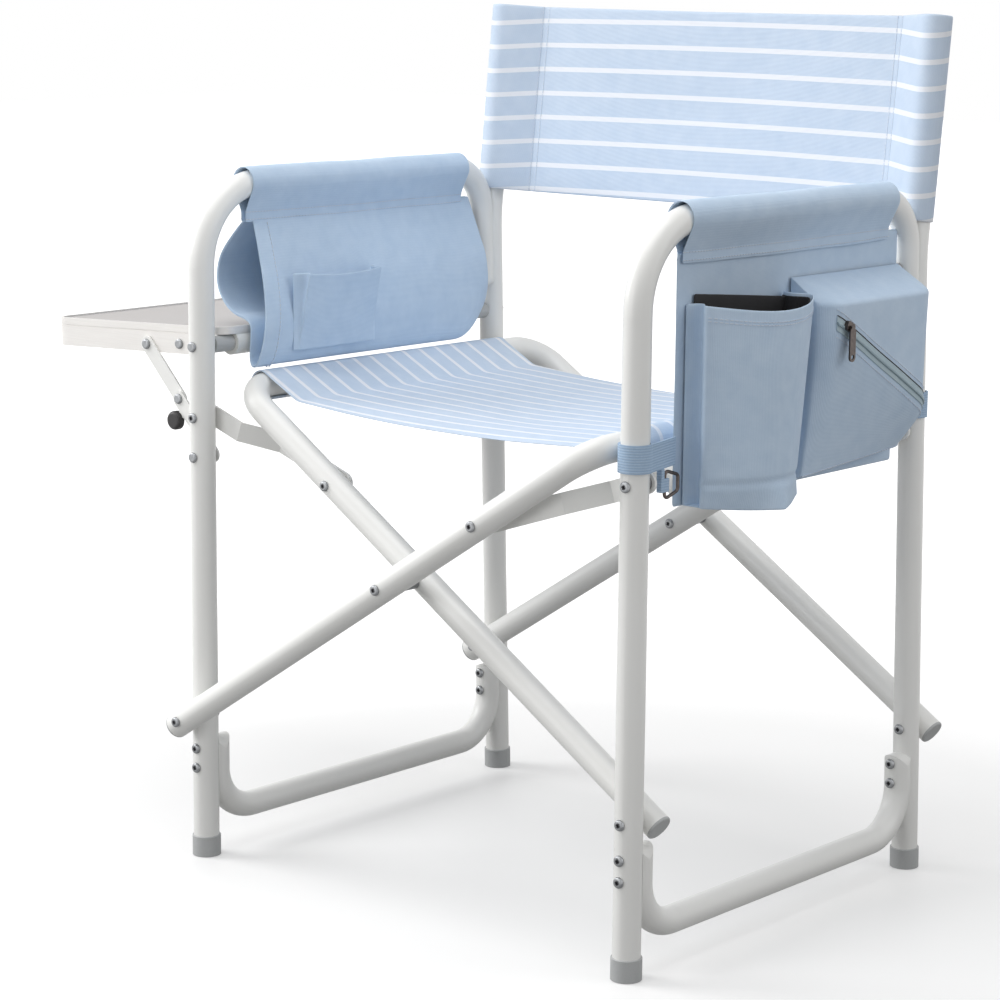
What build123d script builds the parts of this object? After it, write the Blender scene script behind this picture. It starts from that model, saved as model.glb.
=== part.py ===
from build123d import *
import math
import os

# Folding camp chair: two tubular side frames joined by a pair of crossed tube
# frames, a sling seat and back, pockets on the arms and a fold-out side table.
# Millimetres. X across the chair (+X is the sitter's left), -Y to the front, Z up.
# The origin is on the floor, midway between the four feet.

# Side frames
LEG_SPAN = 548.0
FOOT_SPACING = 451.0
ARM_HEIGHT = 680.0
BACK_HEIGHT = 846.0
KNEE_HEIGHT = 627.0
REAR_LEAN = 1.9
BACK_RAKE = 6.5
KNEE_BEND = 160.0
ARM_FRONT_BEND = 80.0
ARM_REAR_BEND = 50.0
TUBE_DIAMETER = 26.0
TUBE_WALL = 1.4
SADDLE_OFFSET = 15.0
SADDLE_OVER_ROD = 17.5
BRACE_HEIGHT = 40.0
BRACE_BEND = 48.0
BRACE_TIP = 123.0
BRACE_SCREW_HEIGHTS = (93.0, 113.0)
ARM_SCREW_HEIGHT = 611.0
SADDLE_LEAD = 4.0

# Foot caps and tube plugs
CAP_DIAMETER = 29.0
CAP_HEIGHT = 21.0
CAP_FLOOR = 3.0
PLUG_THICKNESS = 2.6
PLUG_STEM = 9.0

# Crossed frames
PIVOT_HEIGHT = 146.0
PIVOT_GAP = 1.0
RAIL_HEIGHT = 480.0
RAIL_CLEARANCE = 3.6
RAIL_BEND = 36.0
CROSS_TAIL = 14.5
FOLDED_ANGLE = 78.0
FOLDED_FLARE = 4.15
LINK_REACH = 141.0
LINK_WIDTH = 20.0
LINK_THICKNESS = 3.0
LINK_FLAT = 40.0
LINK_JOGGLE_END = 74.0

# Fasteners
SHANK_RADIUS = 3.0
HEAD_RADIUS = 5.2
HEAD_HEIGHT = 2.8
BUSH_RADIUS = 7.0
SCREW_DEPTH = 14.0
DRILL_REACH = 32.0

# Clearances
RUNNING = 0.05
SEATED = 0.15
LEAN_SEAT = 0.2
SIDE_GAP = 0.4
SOFT_GAP = 0.4

# Side table
HINGE_HEIGHT = 522.0
ROD_RADIUS = 8.5
TABLE_REACH = 244.0
TABLE_INBOARD = 10.0
TABLE_FRONT_GAP = 0.4
TABLE_REAR_GAP = 6.0
TABLE_ABOVE_HINGE = 16.6
TABLE_BELOW_HINGE = 12.5
TABLE_TILT = 2.5
TABLE_CORNER = 18.0
EDGE_WIDTH = 9.0
EDGE_LIP = 3.0
EDGE_GROOVE = 1.4
GROOVE_DROP = 7.0
PANEL_THICKNESS = 5.0
PANEL_RECESS = 1.6
HINGE_RELIEF = 18.0
EAR_LENGTH = 22.0
EAR_RADIUS = 12.5
EAR_INSET = 20.0
STAY_TABLE_REACH = 98.6
STAY_TABLE_DROP = 4.4
STAY_BELOW_LINK = 39.6
STAY_WIDTH = 16.0
STAY_THICKNESS = 2.0
KNOB_ALONG = 13.6
KNOB_ASIDE = 13.0
KNOB_RADIUS = 9.5
KNOB_THICKNESS = 7.0
STAY_SIDE_GAP = 0.3

# Slings and arm covers
CLOTH = 1.8
SEAT_KINK_IN = 52.0
SEAT_KINK_DROP = 10.0
SEAT_SAG = 5.0
SEAT_FRONT_LEFT = -160.0
SEAT_FRONT_RIGHT = -188.0
SEAT_REAR_LEFT = 190.0
SEAT_REAR_RIGHT = 154.0
BACK_SLING_BOTTOM = 654.0
BACK_SLING_OVER = 5.0
BACK_WEB_SET = 5.0
BACK_WEB_SAG = 12.0
COVER_FRONT = -168.0
COVER_REAR = 154.0
COVER_DROP = 40.0
COVER_HEM = 4.0
COVER_SIDE = 6.0

# Left pouch, hung under the arm on the table side
POUCH_FRONT = -165.0
POUCH_REAR = 168.0
POUCH_OVER_RAIL = 17.0
POUCH_INNER = 36.0
POUCH_OUTER = 40.0
POUCH_WALL = 2.4
POUCH_CLEARANCE = 4.0
POUCH_SHOULDER = 15.7
POUCH_BELLY_LOW = 0.35
POUCH_BELLY_HIGH = 0.6
POCKET_FRONT = -134.0
POCKET_REAR = -16.0
POCKET_HEIGHT = 78.0
POCKET_ABOVE_POUCH = 15.0
POCKET_DEPTH = 16.0

# Right organiser, hung under the other arm
PANEL_FRONT = -172.0
PANEL_REAR = 174.0
PANEL_HEIGHT = 215.6
PANEL_CLOTH = 3.0
BOTTLE_FRONT = -164.0
BOTTLE_REAR = -10.0
BOTTLE_DROP = 33.6
BOTTLE_DEPTH = 62.0
ZIP_FRONT = -4.0
ZIP_REAR = 172.0
ZIP_DROP = 41.6
ZIP_HEIGHT = 168.0
ZIP_DEPTH = 46.0
ZIP_TAPER = 14.0
ZIPPER_START_Y = 12.0
ZIPPER_START_DROP = 20.0
ZIPPER_END_Y = 166.0
ZIPPER_END_DROP = 102.0
ZIPPER_WIDTH = 12.0
ZIPPER_THICKNESS = 1.2
SLIDER_LENGTH = 12.0
SLIDER_WIDTH = 9.0
SLIDER_THICKNESS = 4.0
PULL_LENGTH = 32.0
PULL_WIDTH = 9.0
PULL_THICKNESS = 1.6
PULL_BARREL = 1.2
STRAP_WIDTH = 25.0
STRAP_CLOTH = 1.6
STRAP_LEAN = 1.4
STRAP_ABOVE_LINK = 12.0
RING_WIRE = 1.6
RING_BAR = 26.0
RING_REACH = 19.0
TAB_HEIGHT = 12.0
TAB_LENGTH = 11.0
TAB_THICKNESS = 5.4

# Worked-out places
R = TUBE_DIAMETER / 2
HALF_SPAN = LEG_SPAN / 2
FRONT_Y = -FOOT_SPACING / 2
REAR_FOOT_Y = FOOT_SPACING / 2
RAIL_X = HALF_SPAN - TUBE_DIAMETER - RAIL_CLEARANCE
REST_ANGLE = math.degrees(math.atan2(RAIL_HEIGHT - PIVOT_HEIGHT, HALF_SPAN + RAIL_X))
COS, SIN = math.cos(math.radians(REST_ANGLE)), math.sin(math.radians(REST_ANGLE))
CROSS_LENGTH = HALF_SPAN / COS
CROSS_HEIGHT = PIVOT_HEIGHT + CROSS_LENGTH * SIN
PIVOT_STEP = TUBE_DIAMETER + PIVOT_GAP
LEFT_X, RIGHT_X = -HALF_SPAN, HALF_SPAN
ARM_SADDLE_TIP = HINGE_HEIGHT + ROD_RADIUS + SADDLE_OVER_ROD
POUCH_TOP = ARM_HEIGHT - COVER_DROP - SOFT_GAP
POUCH_BOTTOM = RAIL_HEIGHT + POUCH_OVER_RAIL
POCKET_BOTTOM = POUCH_BOTTOM + POCKET_ABOVE_POUCH
POCKET_TOP = POCKET_BOTTOM + POCKET_HEIGHT
PANEL_TOP = ARM_HEIGHT - COVER_DROP - SOFT_GAP
PANEL_BOTTOM = PANEL_TOP - PANEL_HEIGHT
BOTTLE_TOP = PANEL_TOP - BOTTLE_DROP
ZIP_TOP = PANEL_TOP - ZIP_DROP
ZIP_BOTTOM = ZIP_TOP - ZIP_HEIGHT


def rear_y(height):
    """Axis of the rear leg below the arm."""
    return REAR_FOOT_Y - height * math.tan(math.radians(REAR_LEAN))


INNER_FRONT_Y = FRONT_Y + PIVOT_STEP
INNER_REAR_Y = rear_y(PIVOT_HEIGHT) + PIVOT_STEP
OUTER_FRONT_Y = FRONT_Y - PIVOT_STEP
OUTER_REAR_Y = rear_y(PIVOT_HEIGHT) - PIVOT_STEP


def link_leg_height():
    """Leg pivot of the flat links, so that they fit both opened out and folded."""
    def terms(angle, flare):
        c, s = math.cos(math.radians(angle)), math.sin(math.radians(angle))
        near = (CROSS_LENGTH - LINK_REACH) * c
        far = (CROSS_LENGTH + LINK_REACH) * s
        turn = math.radians(flare)
        return near ** 2 + far ** 2, near * math.sin(turn) - far * math.cos(turn)
    open_square, open_cross = terms(REST_ANGLE, 0.0)
    fold_square, fold_cross = terms(FOLDED_ANGLE, FOLDED_FLARE)
    return PIVOT_HEIGHT + (fold_square - open_square) / (2 * (open_cross - fold_cross))


LINK_LEG_HEIGHT = link_leg_height()
FRONT_STRAP_HEIGHT = LINK_LEG_HEIGHT + STRAP_ABOVE_LINK + STRAP_WIDTH / 2
REAR_STRAP_HEIGHT = FRONT_STRAP_HEIGHT
STAY_LEG_HEIGHT = LINK_LEG_HEIGHT - STAY_BELOW_LINK
BACK_SLING_TOP = BACK_HEIGHT + BACK_SLING_OVER
LINK_TUBE_X = LINK_REACH * COS
LINK_TUBE_HEIGHT = CROSS_HEIGHT + LINK_REACH * SIN


def front_leg(x):
    """Frame on the front leg's axis, at the floor."""
    return Plane(origin=(x, FRONT_Y, 0), x_dir=(1, 0, 0), z_dir=(0, 0, 1))


def rear_leg(x):
    """Frame on the rear leg's axis, at the floor, leaning with it."""
    lean = math.radians(REAR_LEAN)
    return Plane(origin=(x, REAR_FOOT_Y, 0), x_dir=(1, 0, 0), z_dir=(0, -math.sin(lean), math.cos(lean)))


def round_bar(path, radius):
    return sweep(Plane(origin=path @ 0, z_dir=path % 0) * Circle(radius), path=path)


def tube(path):
    return round_bar(path, R) - round_bar(path, R - TUBE_WALL)


def rod_y(x, z, start, end, radius):
    """Round bar along Y."""
    return Pos(x, (start + end) / 2, z) * Rot(90, 0, 0) * Cylinder(radius, abs(end - start))


def dome(x, z, face, towards):
    """Low domed head standing on a face, towards -Y or +Y."""
    head = Pos(0, 0, HEAD_HEIGHT / 2) * Cylinder(HEAD_RADIUS, HEAD_HEIGHT)
    head = fillet(head.edges().sort_by(Axis.Z)[-1], HEAD_HEIGHT * 0.8)
    return Pos(x, face, z) * Rot(-90 * towards, 0, 0) * head


def bolt(x, z, front, back):
    """Bolt along Y with a domed head in front and a domed nut behind."""
    return dome(x, z, front, -1) + rod_y(x, z, front, back, SHANK_RADIUS) + dome(x, z, back, 1)


def stud(x, z, face, end):
    """Headed stud along Y from its head's face to its plain end."""
    towards = -1 if end > face else 1
    return dome(x, z, face, towards) + rod_y(x, z, face, end, SHANK_RADIUS)


def drilled(body, places):
    """Through holes along Y at (x, y, z) places on tube axes."""
    for x, y, z in places:
        body -= rod_y(x, z, y - DRILL_REACH, y + DRILL_REACH, SHANK_RADIUS + RUNNING)
    return body


def saddle_end(leg, side, tip, root):
    """Crushed tube end that hugs a leg: a crescent with a rounded tip."""
    towards = 1 if root > tip else -1
    straight = abs(root - tip) - R
    middle = (tip + root) / 2
    reach = 4 * R
    bar = Pos(0, side * SADDLE_OFFSET, middle) * Cylinder(R, abs(root - tip))
    tongue = Pos(0, side * SADDLE_OFFSET, root - towards * straight / 2) * Box(2 * R, reach, straight)
    tongue += Pos(0, side * SADDLE_OFFSET, tip + towards * R) * Rot(90, 0, 0) * Cylinder(R, reach)
    return leg.location * (bar & tongue)


def leg_clearance(leg, low, high):
    """The leg's own round, with its seating clearance, to cut a saddle by."""
    return leg.location * Pos(0, 0, (low + high) / 2) * Cylinder(R + SEATED, high - low)


def saddle_line_at(height):
    """Distance up the rear leg's frame where the saddle's axis reaches a height."""
    lean = math.radians(REAR_LEAN)
    return (height + SADDLE_OFFSET * math.sin(lean)) / math.cos(lean)


def arm_tube(x):
    """Front leg, arm and rear drop, bent from one tube and crushed on to the rear leg."""
    rear = rear_leg(x)
    root = ARM_HEIGHT - ARM_REAR_BEND - SADDLE_LEAD
    foot = (x, FRONT_Y, CAP_FLOOR)
    elbow = rear.from_local_coords((0, -SADDLE_OFFSET, saddle_line_at(ARM_HEIGHT)))
    drop = rear.from_local_coords((0, -SADDLE_OFFSET, root))
    path = FilletPolyline(foot, (x, FRONT_Y, ARM_HEIGHT), elbow, drop, radius=[ARM_FRONT_BEND, ARM_REAR_BEND])
    body = tube(path) + saddle_end(rear, -1, ARM_SADDLE_TIP, root)
    return body - leg_clearance(rear, ARM_SADDLE_TIP - R, ARM_HEIGHT + R)


def back_post(x):
    """Rear leg and back upright, bent back above the arm."""
    rake = math.radians(BACK_RAKE)
    knee_y = rear_y(KNEE_HEIGHT)
    top_y = knee_y + (BACK_HEIGHT - KNEE_HEIGHT) * math.tan(rake)
    foot = (x, rear_y(CAP_FLOOR), CAP_FLOOR)
    return tube(FilletPolyline(foot, (x, knee_y, KNEE_HEIGHT), (x, top_y, BACK_HEIGHT), radius=KNEE_BEND))


def floor_brace(x):
    """Low U-shaped tube whose crushed ends are screwed to both legs."""
    front, rear = front_leg(x), rear_leg(x)
    root = BRACE_HEIGHT + BRACE_BEND + SADDLE_LEAD
    path = FilletPolyline(
        front.from_local_coords((0, SADDLE_OFFSET, root)),
        front.from_local_coords((0, SADDLE_OFFSET, BRACE_HEIGHT)),
        rear.from_local_coords((0, -SADDLE_OFFSET, saddle_line_at(BRACE_HEIGHT))),
        rear.from_local_coords((0, -SADDLE_OFFSET, root)),
        radius=BRACE_BEND)
    body = tube(path) + saddle_end(front, 1, BRACE_TIP, root) + saddle_end(rear, -1, BRACE_TIP, root)
    return body - leg_clearance(front, 0, BRACE_TIP + R) - leg_clearance(rear, 0, BRACE_TIP + R)


def foot_cap(leg):
    """Moulded cup on a leg's end, cut flat where it stands."""
    cup = Pos(0, 0, CAP_HEIGHT / 2 - CAP_FLOOR / 2) * Cylinder(CAP_DIAMETER / 2, CAP_HEIGHT + CAP_FLOOR)
    cup = chamfer(cup.edges().sort_by(Axis.Z)[-1], TUBE_WALL / 2)
    cup -= Pos(0, 0, CAP_FLOOR + CAP_HEIGHT / 2) * Cylinder(R + SEATED, CAP_HEIGHT)
    below = Pos(0, 0, -CAP_HEIGHT / 2) * Box(LEG_SPAN * 2, FOOT_SPACING * 2, CAP_HEIGHT)
    return leg.location * cup - below


def tube_plug(end, outwards):
    """Moulded plug with a crowned face, pushed into an open tube end."""
    seat = Plane(origin=end, z_dir=outwards)
    face = Pos(0, 0, PLUG_THICKNESS / 2) * Cylinder(R, PLUG_THICKNESS)
    face = fillet(face.edges().sort_by(Axis.Z)[-1], PLUG_THICKNESS * 0.7)
    stem = Pos(0, 0, -PLUG_STEM / 2) * Cylinder(R - TUBE_WALL - SEATED, PLUG_STEM)
    return seat.location * (face + stem)


def post_plug(x):
    rake = math.radians(BACK_RAKE)
    top_y = rear_y(KNEE_HEIGHT) + (BACK_HEIGHT - KNEE_HEIGHT) * math.tan(rake)
    return tube_plug((x, top_y, BACK_HEIGHT), (0, math.sin(rake), math.cos(rake)))


def frame_holes(x):
    """Bolt and screw places on the front and rear leg of one side frame."""
    heights = [PIVOT_HEIGHT, LINK_LEG_HEIGHT, *BRACE_SCREW_HEIGHTS]
    front = [(x, FRONT_Y, z) for z in heights]
    rear = [(x, rear_y(z), z) for z in [*heights, ARM_SCREW_HEIGHT]]
    if x < 0:
        front += [(x, FRONT_Y, HINGE_HEIGHT), (x, FRONT_Y, STAY_LEG_HEIGHT)]
        rear += [(x, rear_y(HINGE_HEIGHT), HINGE_HEIGHT)]
    return front, rear


def saddle_face(height):
    """Front of a saddle on the rear leg."""
    return rear_y(height) - SADDLE_OFFSET - R - LEAN_SEAT


def frame_screws(x):
    """Screws that hold the crushed tube ends to the legs."""
    screws = []
    for z in BRACE_SCREW_HEIGHTS:
        screws.append(stud(x, z, FRONT_Y - R, FRONT_Y + SCREW_DEPTH))
        screws.append(stud(x, z, saddle_face(z), rear_y(z)))
    screws.append(stud(x, ARM_SCREW_HEIGHT, saddle_face(ARM_SCREW_HEIGHT), rear_y(ARM_SCREW_HEIGHT)))
    return Compound(children=screws)


def cross_tube(side, front, rear):
    """Bent tube of one crossed frame: side is where its lower ends pivot."""
    low_x = side * (HALF_SPAN + CROSS_TAIL * COS)
    low_z = PIVOT_HEIGHT - CROSS_TAIL * SIN
    rail_x = -side * RAIL_X
    path = FilletPolyline(
        (low_x, front, low_z), (rail_x, front, RAIL_HEIGHT),
        (rail_x, rear, RAIL_HEIGHT), (low_x, rear, low_z), radius=RAIL_BEND)
    holes = [(side * HALF_SPAN, PIVOT_HEIGHT), (0, CROSS_HEIGHT), (-side * LINK_TUBE_X, LINK_TUBE_HEIGHT)]
    return drilled(tube(path), [(x, y, z) for x, z in holes for y in (front, rear)])


def cross_plugs(side, front, rear):
    low_x = side * (HALF_SPAN + CROSS_TAIL * COS)
    low_z = PIVOT_HEIGHT - CROSS_TAIL * SIN
    return Compound(children=[tube_plug((low_x, y, low_z), (side * COS, 0, -SIN)) for y in (front, rear)])


def flat_link(side, leg_y, tube_y):
    """Flat bar from a leg to a crossed tube, joggled where the two lie apart in Y."""
    start = Vector(side * HALF_SPAN, 0, LINK_LEG_HEIGHT)
    end = Vector(side * LINK_TUBE_X, 0, LINK_TUBE_HEIGHT)
    along = (end - start).normalized()
    length = (end - start).length
    edge_on = Plane(origin=start, x_dir=along, z_dir=along.cross(Vector(0, 1, 0)))
    reach = LINK_WIDTH / 2
    near = [(-reach, leg_y), (LINK_FLAT, leg_y), (LINK_JOGGLE_END, tube_y), (length + reach, tube_y)]
    far = [(s, y + LINK_THICKNESS) for s, y in reversed(near)]
    strip = extrude(edge_on * make_face(Polyline(*near, *far, close=True)), LINK_WIDTH / 2, both=True)
    face_on = Plane(origin=start, x_dir=along, z_dir=(0, 1, 0))
    outline = face_on * Pos(length / 2, 0) * SlotCenterToCenter(length, LINK_WIDTH)
    bar = strip & extrude(outline, FOOT_SPACING, both=True)
    return bar - rod_y(start.X, start.Z, leg_y - R, leg_y + R, SHANK_RADIUS + RUNNING)


# Where each flat link lies in Y, at its leg and at its crossed tube
LEFT_FRONT_LINK = (FRONT_Y + R + SIDE_GAP, INNER_FRONT_Y + R + SIDE_GAP)
STRAP_BUILD = 2 * SOFT_GAP + STRAP_CLOTH + SIDE_GAP
RIGHT_FRONT_LINK = (FRONT_Y + R + STRAP_BUILD, OUTER_FRONT_Y + R + SIDE_GAP)
LEFT_REAR_LINK = (INNER_REAR_Y - R - SIDE_GAP - LINK_THICKNESS,) * 2
LINK_REAR_FACE = rear_y(LINK_LEG_HEIGHT) - R
RIGHT_REAR_LINK = (LINK_REAR_FACE - STRAP_BUILD - STRAP_LEAN - LINK_THICKNESS, OUTER_REAR_Y - R - SIDE_GAP - LINK_THICKNESS)


def link_nut(side, face, towards):
    return dome(side * LINK_TUBE_X, LINK_TUBE_HEIGHT, face, towards)


def left_link_bolts():
    leg_back = rear_y(LINK_LEG_HEIGHT) + R + SIDE_GAP
    front = bolt(LEFT_X, LINK_LEG_HEIGHT, FRONT_Y - R, LEFT_FRONT_LINK[0] + LINK_THICKNESS + SIDE_GAP)
    rear = bolt(LEFT_X, LINK_LEG_HEIGHT, LINK_REAR_FACE - LEAN_SEAT, LEFT_REAR_LINK[0] + LINK_THICKNESS + SIDE_GAP)
    rear += rod_y(LEFT_X, LINK_LEG_HEIGHT, leg_back, LEFT_REAR_LINK[0] - SIDE_GAP, BUSH_RADIUS)
    return Compound(children=[front, rear])


def right_link_bolts():
    """Link bolts of the right frame, with bushes that hold the links clear of the straps."""
    front_link, rear_link = RIGHT_FRONT_LINK[0], RIGHT_REAR_LINK[0]
    leg_back = rear_y(LINK_LEG_HEIGHT) + R + LEAN_SEAT
    front = bolt(RIGHT_X, LINK_LEG_HEIGHT, FRONT_Y - R, front_link + LINK_THICKNESS + SIDE_GAP)
    front += rod_y(RIGHT_X, LINK_LEG_HEIGHT, FRONT_Y + R, front_link - SIDE_GAP, BUSH_RADIUS)
    rear = bolt(RIGHT_X, LINK_LEG_HEIGHT, rear_link - SIDE_GAP, leg_back)
    bush_start = rear_link + LINK_THICKNESS + SIDE_GAP
    rear += rod_y(RIGHT_X, LINK_LEG_HEIGHT, bush_start, LINK_REAR_FACE - SIDE_GAP, BUSH_RADIUS)
    return Compound(children=[front, rear])


def left_pivot_bolts():
    """Bolts in the left legs that carry the outer crossed frame."""
    front = bolt(LEFT_X, PIVOT_HEIGHT, OUTER_FRONT_Y - R - SIDE_GAP, FRONT_Y + R)
    rear = bolt(LEFT_X, PIVOT_HEIGHT, OUTER_REAR_Y - R - SIDE_GAP, rear_y(PIVOT_HEIGHT) + R + LEAN_SEAT)
    return Compound(children=[front, rear])


def right_pivot_bolts():
    """Bolts in the right legs that carry the inner crossed frame."""
    front = bolt(RIGHT_X, PIVOT_HEIGHT, FRONT_Y - R, INNER_FRONT_Y + R + SIDE_GAP)
    rear = bolt(RIGHT_X, PIVOT_HEIGHT, rear_y(PIVOT_HEIGHT) - R - LEAN_SEAT, INNER_REAR_Y + R + SIDE_GAP)
    return Compound(children=[front, rear])


def cross_bolts():
    """Bolts and bushes where the two crossed frames pass each other."""
    bolts = []
    for outer, inner in ((OUTER_FRONT_Y, INNER_FRONT_Y), (OUTER_REAR_Y, INNER_REAR_Y)):
        through = bolt(0, CROSS_HEIGHT, outer - R, inner + R + SIDE_GAP)
        bolts.append(through + rod_y(0, CROSS_HEIGHT, outer + R, inner - R - SIDE_GAP, BUSH_RADIUS))
    return Compound(children=bolts)


def inner_link_studs():
    front = stud(-LINK_TUBE_X, LINK_TUBE_HEIGHT, INNER_FRONT_Y - R, INNER_FRONT_Y + R)
    rear = stud(-LINK_TUBE_X, LINK_TUBE_HEIGHT, INNER_REAR_Y + R, INNER_REAR_Y - R)
    return Compound(children=[front, rear])


def outer_link_studs():
    front = stud(LINK_TUBE_X, LINK_TUBE_HEIGHT, OUTER_FRONT_Y - R, OUTER_FRONT_Y + R)
    rear = stud(LINK_TUBE_X, LINK_TUBE_HEIGHT, OUTER_REAR_Y + R, OUTER_REAR_Y - R)
    return Compound(children=[front, rear])


# Side table, drawn level and then let down on its hinge rod by its tilt
STAY_LOWER_Y = FRONT_Y + R + SIDE_GAP
STAY_UPPER_Y = STAY_LOWER_Y + STAY_THICKNESS + STAY_SIDE_GAP
TABLE_FRONT = STAY_UPPER_Y + STAY_THICKNESS + TABLE_FRONT_GAP
TABLE_REAR = rear_y(HINGE_HEIGHT) - R - TABLE_REAR_GAP
TABLE_LENGTH = TABLE_REAR - TABLE_FRONT
TABLE_MIDDLE = (TABLE_REAR + TABLE_FRONT) / 2
TABLE_WIDTH = TABLE_REACH + TABLE_INBOARD
TABLE_CENTRE_X = LEFT_X + TABLE_INBOARD - TABLE_WIDTH / 2
TABLE_TOP = HINGE_HEIGHT + TABLE_ABOVE_HINGE
TABLE_UNDER = HINGE_HEIGHT - TABLE_BELOW_HINGE
LEDGE_UNDER = HINGE_HEIGHT + ROD_RADIUS + SIDE_GAP
PANEL_UNDER = TABLE_TOP - PANEL_RECESS - PANEL_THICKNESS
HINGE = Pos(LEFT_X, 0, HINGE_HEIGHT)
TILTED = HINGE * Rot(0, -TABLE_TILT, 0) * HINGE.inverse()


def table_outline(inset, low, high):
    """Rounded rectangle of the table, set in from its rim, between two heights."""
    size = (TABLE_WIDTH - 2 * inset, TABLE_LENGTH - 2 * inset)
    face = RectangleRounded(*size, TABLE_CORNER - inset)
    return extrude(Pos(TABLE_CENTRE_X, TABLE_MIDDLE, low) * face, high - low)


def table_edge():
    """Drawn aluminium rim: a ledge for the panel, a groove outside, relieved over the rod."""
    rim = table_outline(0, TABLE_UNDER, TABLE_TOP) - table_outline(EDGE_WIDTH, TABLE_UNDER, TABLE_TOP)
    rim -= table_outline(EDGE_LIP, PANEL_UNDER, TABLE_TOP)
    groove_top = TABLE_TOP - GROOVE_DROP
    groove = table_outline(0, groove_top - EDGE_GROOVE, groove_top)
    rim -= groove - table_outline(EDGE_GROOVE / 2, groove_top - EDGE_GROOVE, groove_top)
    relief_low = TABLE_UNDER - EDGE_WIDTH
    relief = Box(HINGE_RELIEF + TABLE_INBOARD, TABLE_LENGTH + EDGE_WIDTH, LEDGE_UNDER - relief_low)
    relief_x = LEFT_X + (TABLE_INBOARD - HINGE_RELIEF) / 2
    return TILTED * (rim - Pos(relief_x, TABLE_MIDDLE, (LEDGE_UNDER + relief_low) / 2) * relief)


def table_panel():
    panel = table_outline(EDGE_LIP + SEATED, PANEL_UNDER, PANEL_UNDER + PANEL_THICKNESS)
    return TILTED * panel


def ear_spans():
    return ((TABLE_FRONT + EAR_INSET, 1), (TABLE_REAR - EAR_INSET, -1))


def table_ears():
    """Moulded hinge blocks under the table's inner edge, turning on the rod."""
    ears = []
    for start, towards in ear_spans():
        end = start + towards * EAR_LENGTH
        ear = rod_y(LEFT_X, HINGE_HEIGHT, start, end, EAR_RADIUS)
        web_width = HINGE_RELIEF + TABLE_INBOARD - SIDE_GAP
        web_x = LEFT_X + TABLE_INBOARD - SIDE_GAP - web_width / 2
        web = Box(web_width, EAR_LENGTH, LEDGE_UNDER - HINGE_HEIGHT)
        ear += Pos(web_x, (start + end) / 2, (LEDGE_UNDER + HINGE_HEIGHT) / 2) * web
        above = Box(TABLE_WIDTH, EAR_LENGTH * 2, EAR_RADIUS)
        ear -= Pos(LEFT_X, (start + end) / 2, LEDGE_UNDER + EAR_RADIUS / 2) * above
        ears.append(TILTED * (ear - rod_y(LEFT_X, HINGE_HEIGHT, start, end, ROD_RADIUS + RUNNING)))
    return Compound(children=ears)


def hinge_rod():
    """Tube between the left legs that the table turns on."""
    start, end = FRONT_Y + R + SEATED, rear_y(HINGE_HEIGHT) - R - SIDE_GAP
    body = rod_y(LEFT_X, HINGE_HEIGHT, start, end, ROD_RADIUS)
    return body - rod_y(LEFT_X, HINGE_HEIGHT, start, end, SHANK_RADIUS + RUNNING)


def hinge_screws():
    inside = SCREW_DEPTH
    front = stud(LEFT_X, HINGE_HEIGHT, FRONT_Y - R, FRONT_Y + R + inside)
    back = rear_y(HINGE_HEIGHT)
    rear = stud(LEFT_X, HINGE_HEIGHT, back + R + LEAN_SEAT, back - R - inside)
    return Compound(children=[front, rear])


def stay_points():
    """Table pivot, knee and leg pivot of the stay, as seen from the front."""
    tilt = math.radians(TABLE_TILT)
    x = -STAY_TABLE_REACH * math.cos(tilt) + STAY_TABLE_DROP * math.sin(tilt)
    z = -STAY_TABLE_REACH * math.sin(tilt) - STAY_TABLE_DROP * math.cos(tilt)
    upper = Vector(LEFT_X + x, 0, HINGE_HEIGHT + z)
    lower = Vector(LEFT_X, 0, STAY_LEG_HEIGHT)
    return upper, (upper + lower) * 0.5, lower


def stay_bar(start, end, y):
    along = end - start
    face_on = Plane(origin=(start.X, y, start.Z), x_dir=along.normalized(), z_dir=(0, 1, 0))
    outline = face_on * Pos(along.length / 2, 0) * SlotCenterToCenter(along.length, STAY_WIDTH)
    bar = extrude(outline, STAY_THICKNESS)
    return bar, face_on


def stay_upper_bar():
    upper, knee, _ = stay_points()
    bar, _ = stay_bar(upper, knee, STAY_UPPER_Y)
    return bar - rod_y(upper.X, upper.Z, STAY_UPPER_Y - R, STAY_UPPER_Y + R, SHANK_RADIUS + RUNNING)


def knob_centre():
    _, knee, lower = stay_points()
    along = (lower - knee).normalized()
    aside = Vector(along.Z, 0, -along.X)
    return knee + along * KNOB_ALONG + aside * KNOB_ASIDE


def stay_lower_bar():
    """Lower stay bar with the thumb tab that breaks the stay."""
    _, knee, lower = stay_points()
    bar, face_on = stay_bar(knee, lower, STAY_LOWER_Y)
    tab = Box(STAY_WIDTH * 0.5, KNOB_ASIDE, STAY_THICKNESS)
    local = face_on.to_local_coords(Vector(knob_centre().X, STAY_LOWER_Y, knob_centre().Z))
    bar += face_on.location * Pos(local.X, local.Y / 2, STAY_THICKNESS / 2) * tab
    bar -= rod_y(knee.X, knee.Z, STAY_LOWER_Y - R, STAY_LOWER_Y + R, SHANK_RADIUS + RUNNING)
    return bar - rod_y(lower.X, lower.Z, STAY_LOWER_Y - R, STAY_LOWER_Y + R, SHANK_RADIUS + RUNNING)


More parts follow.
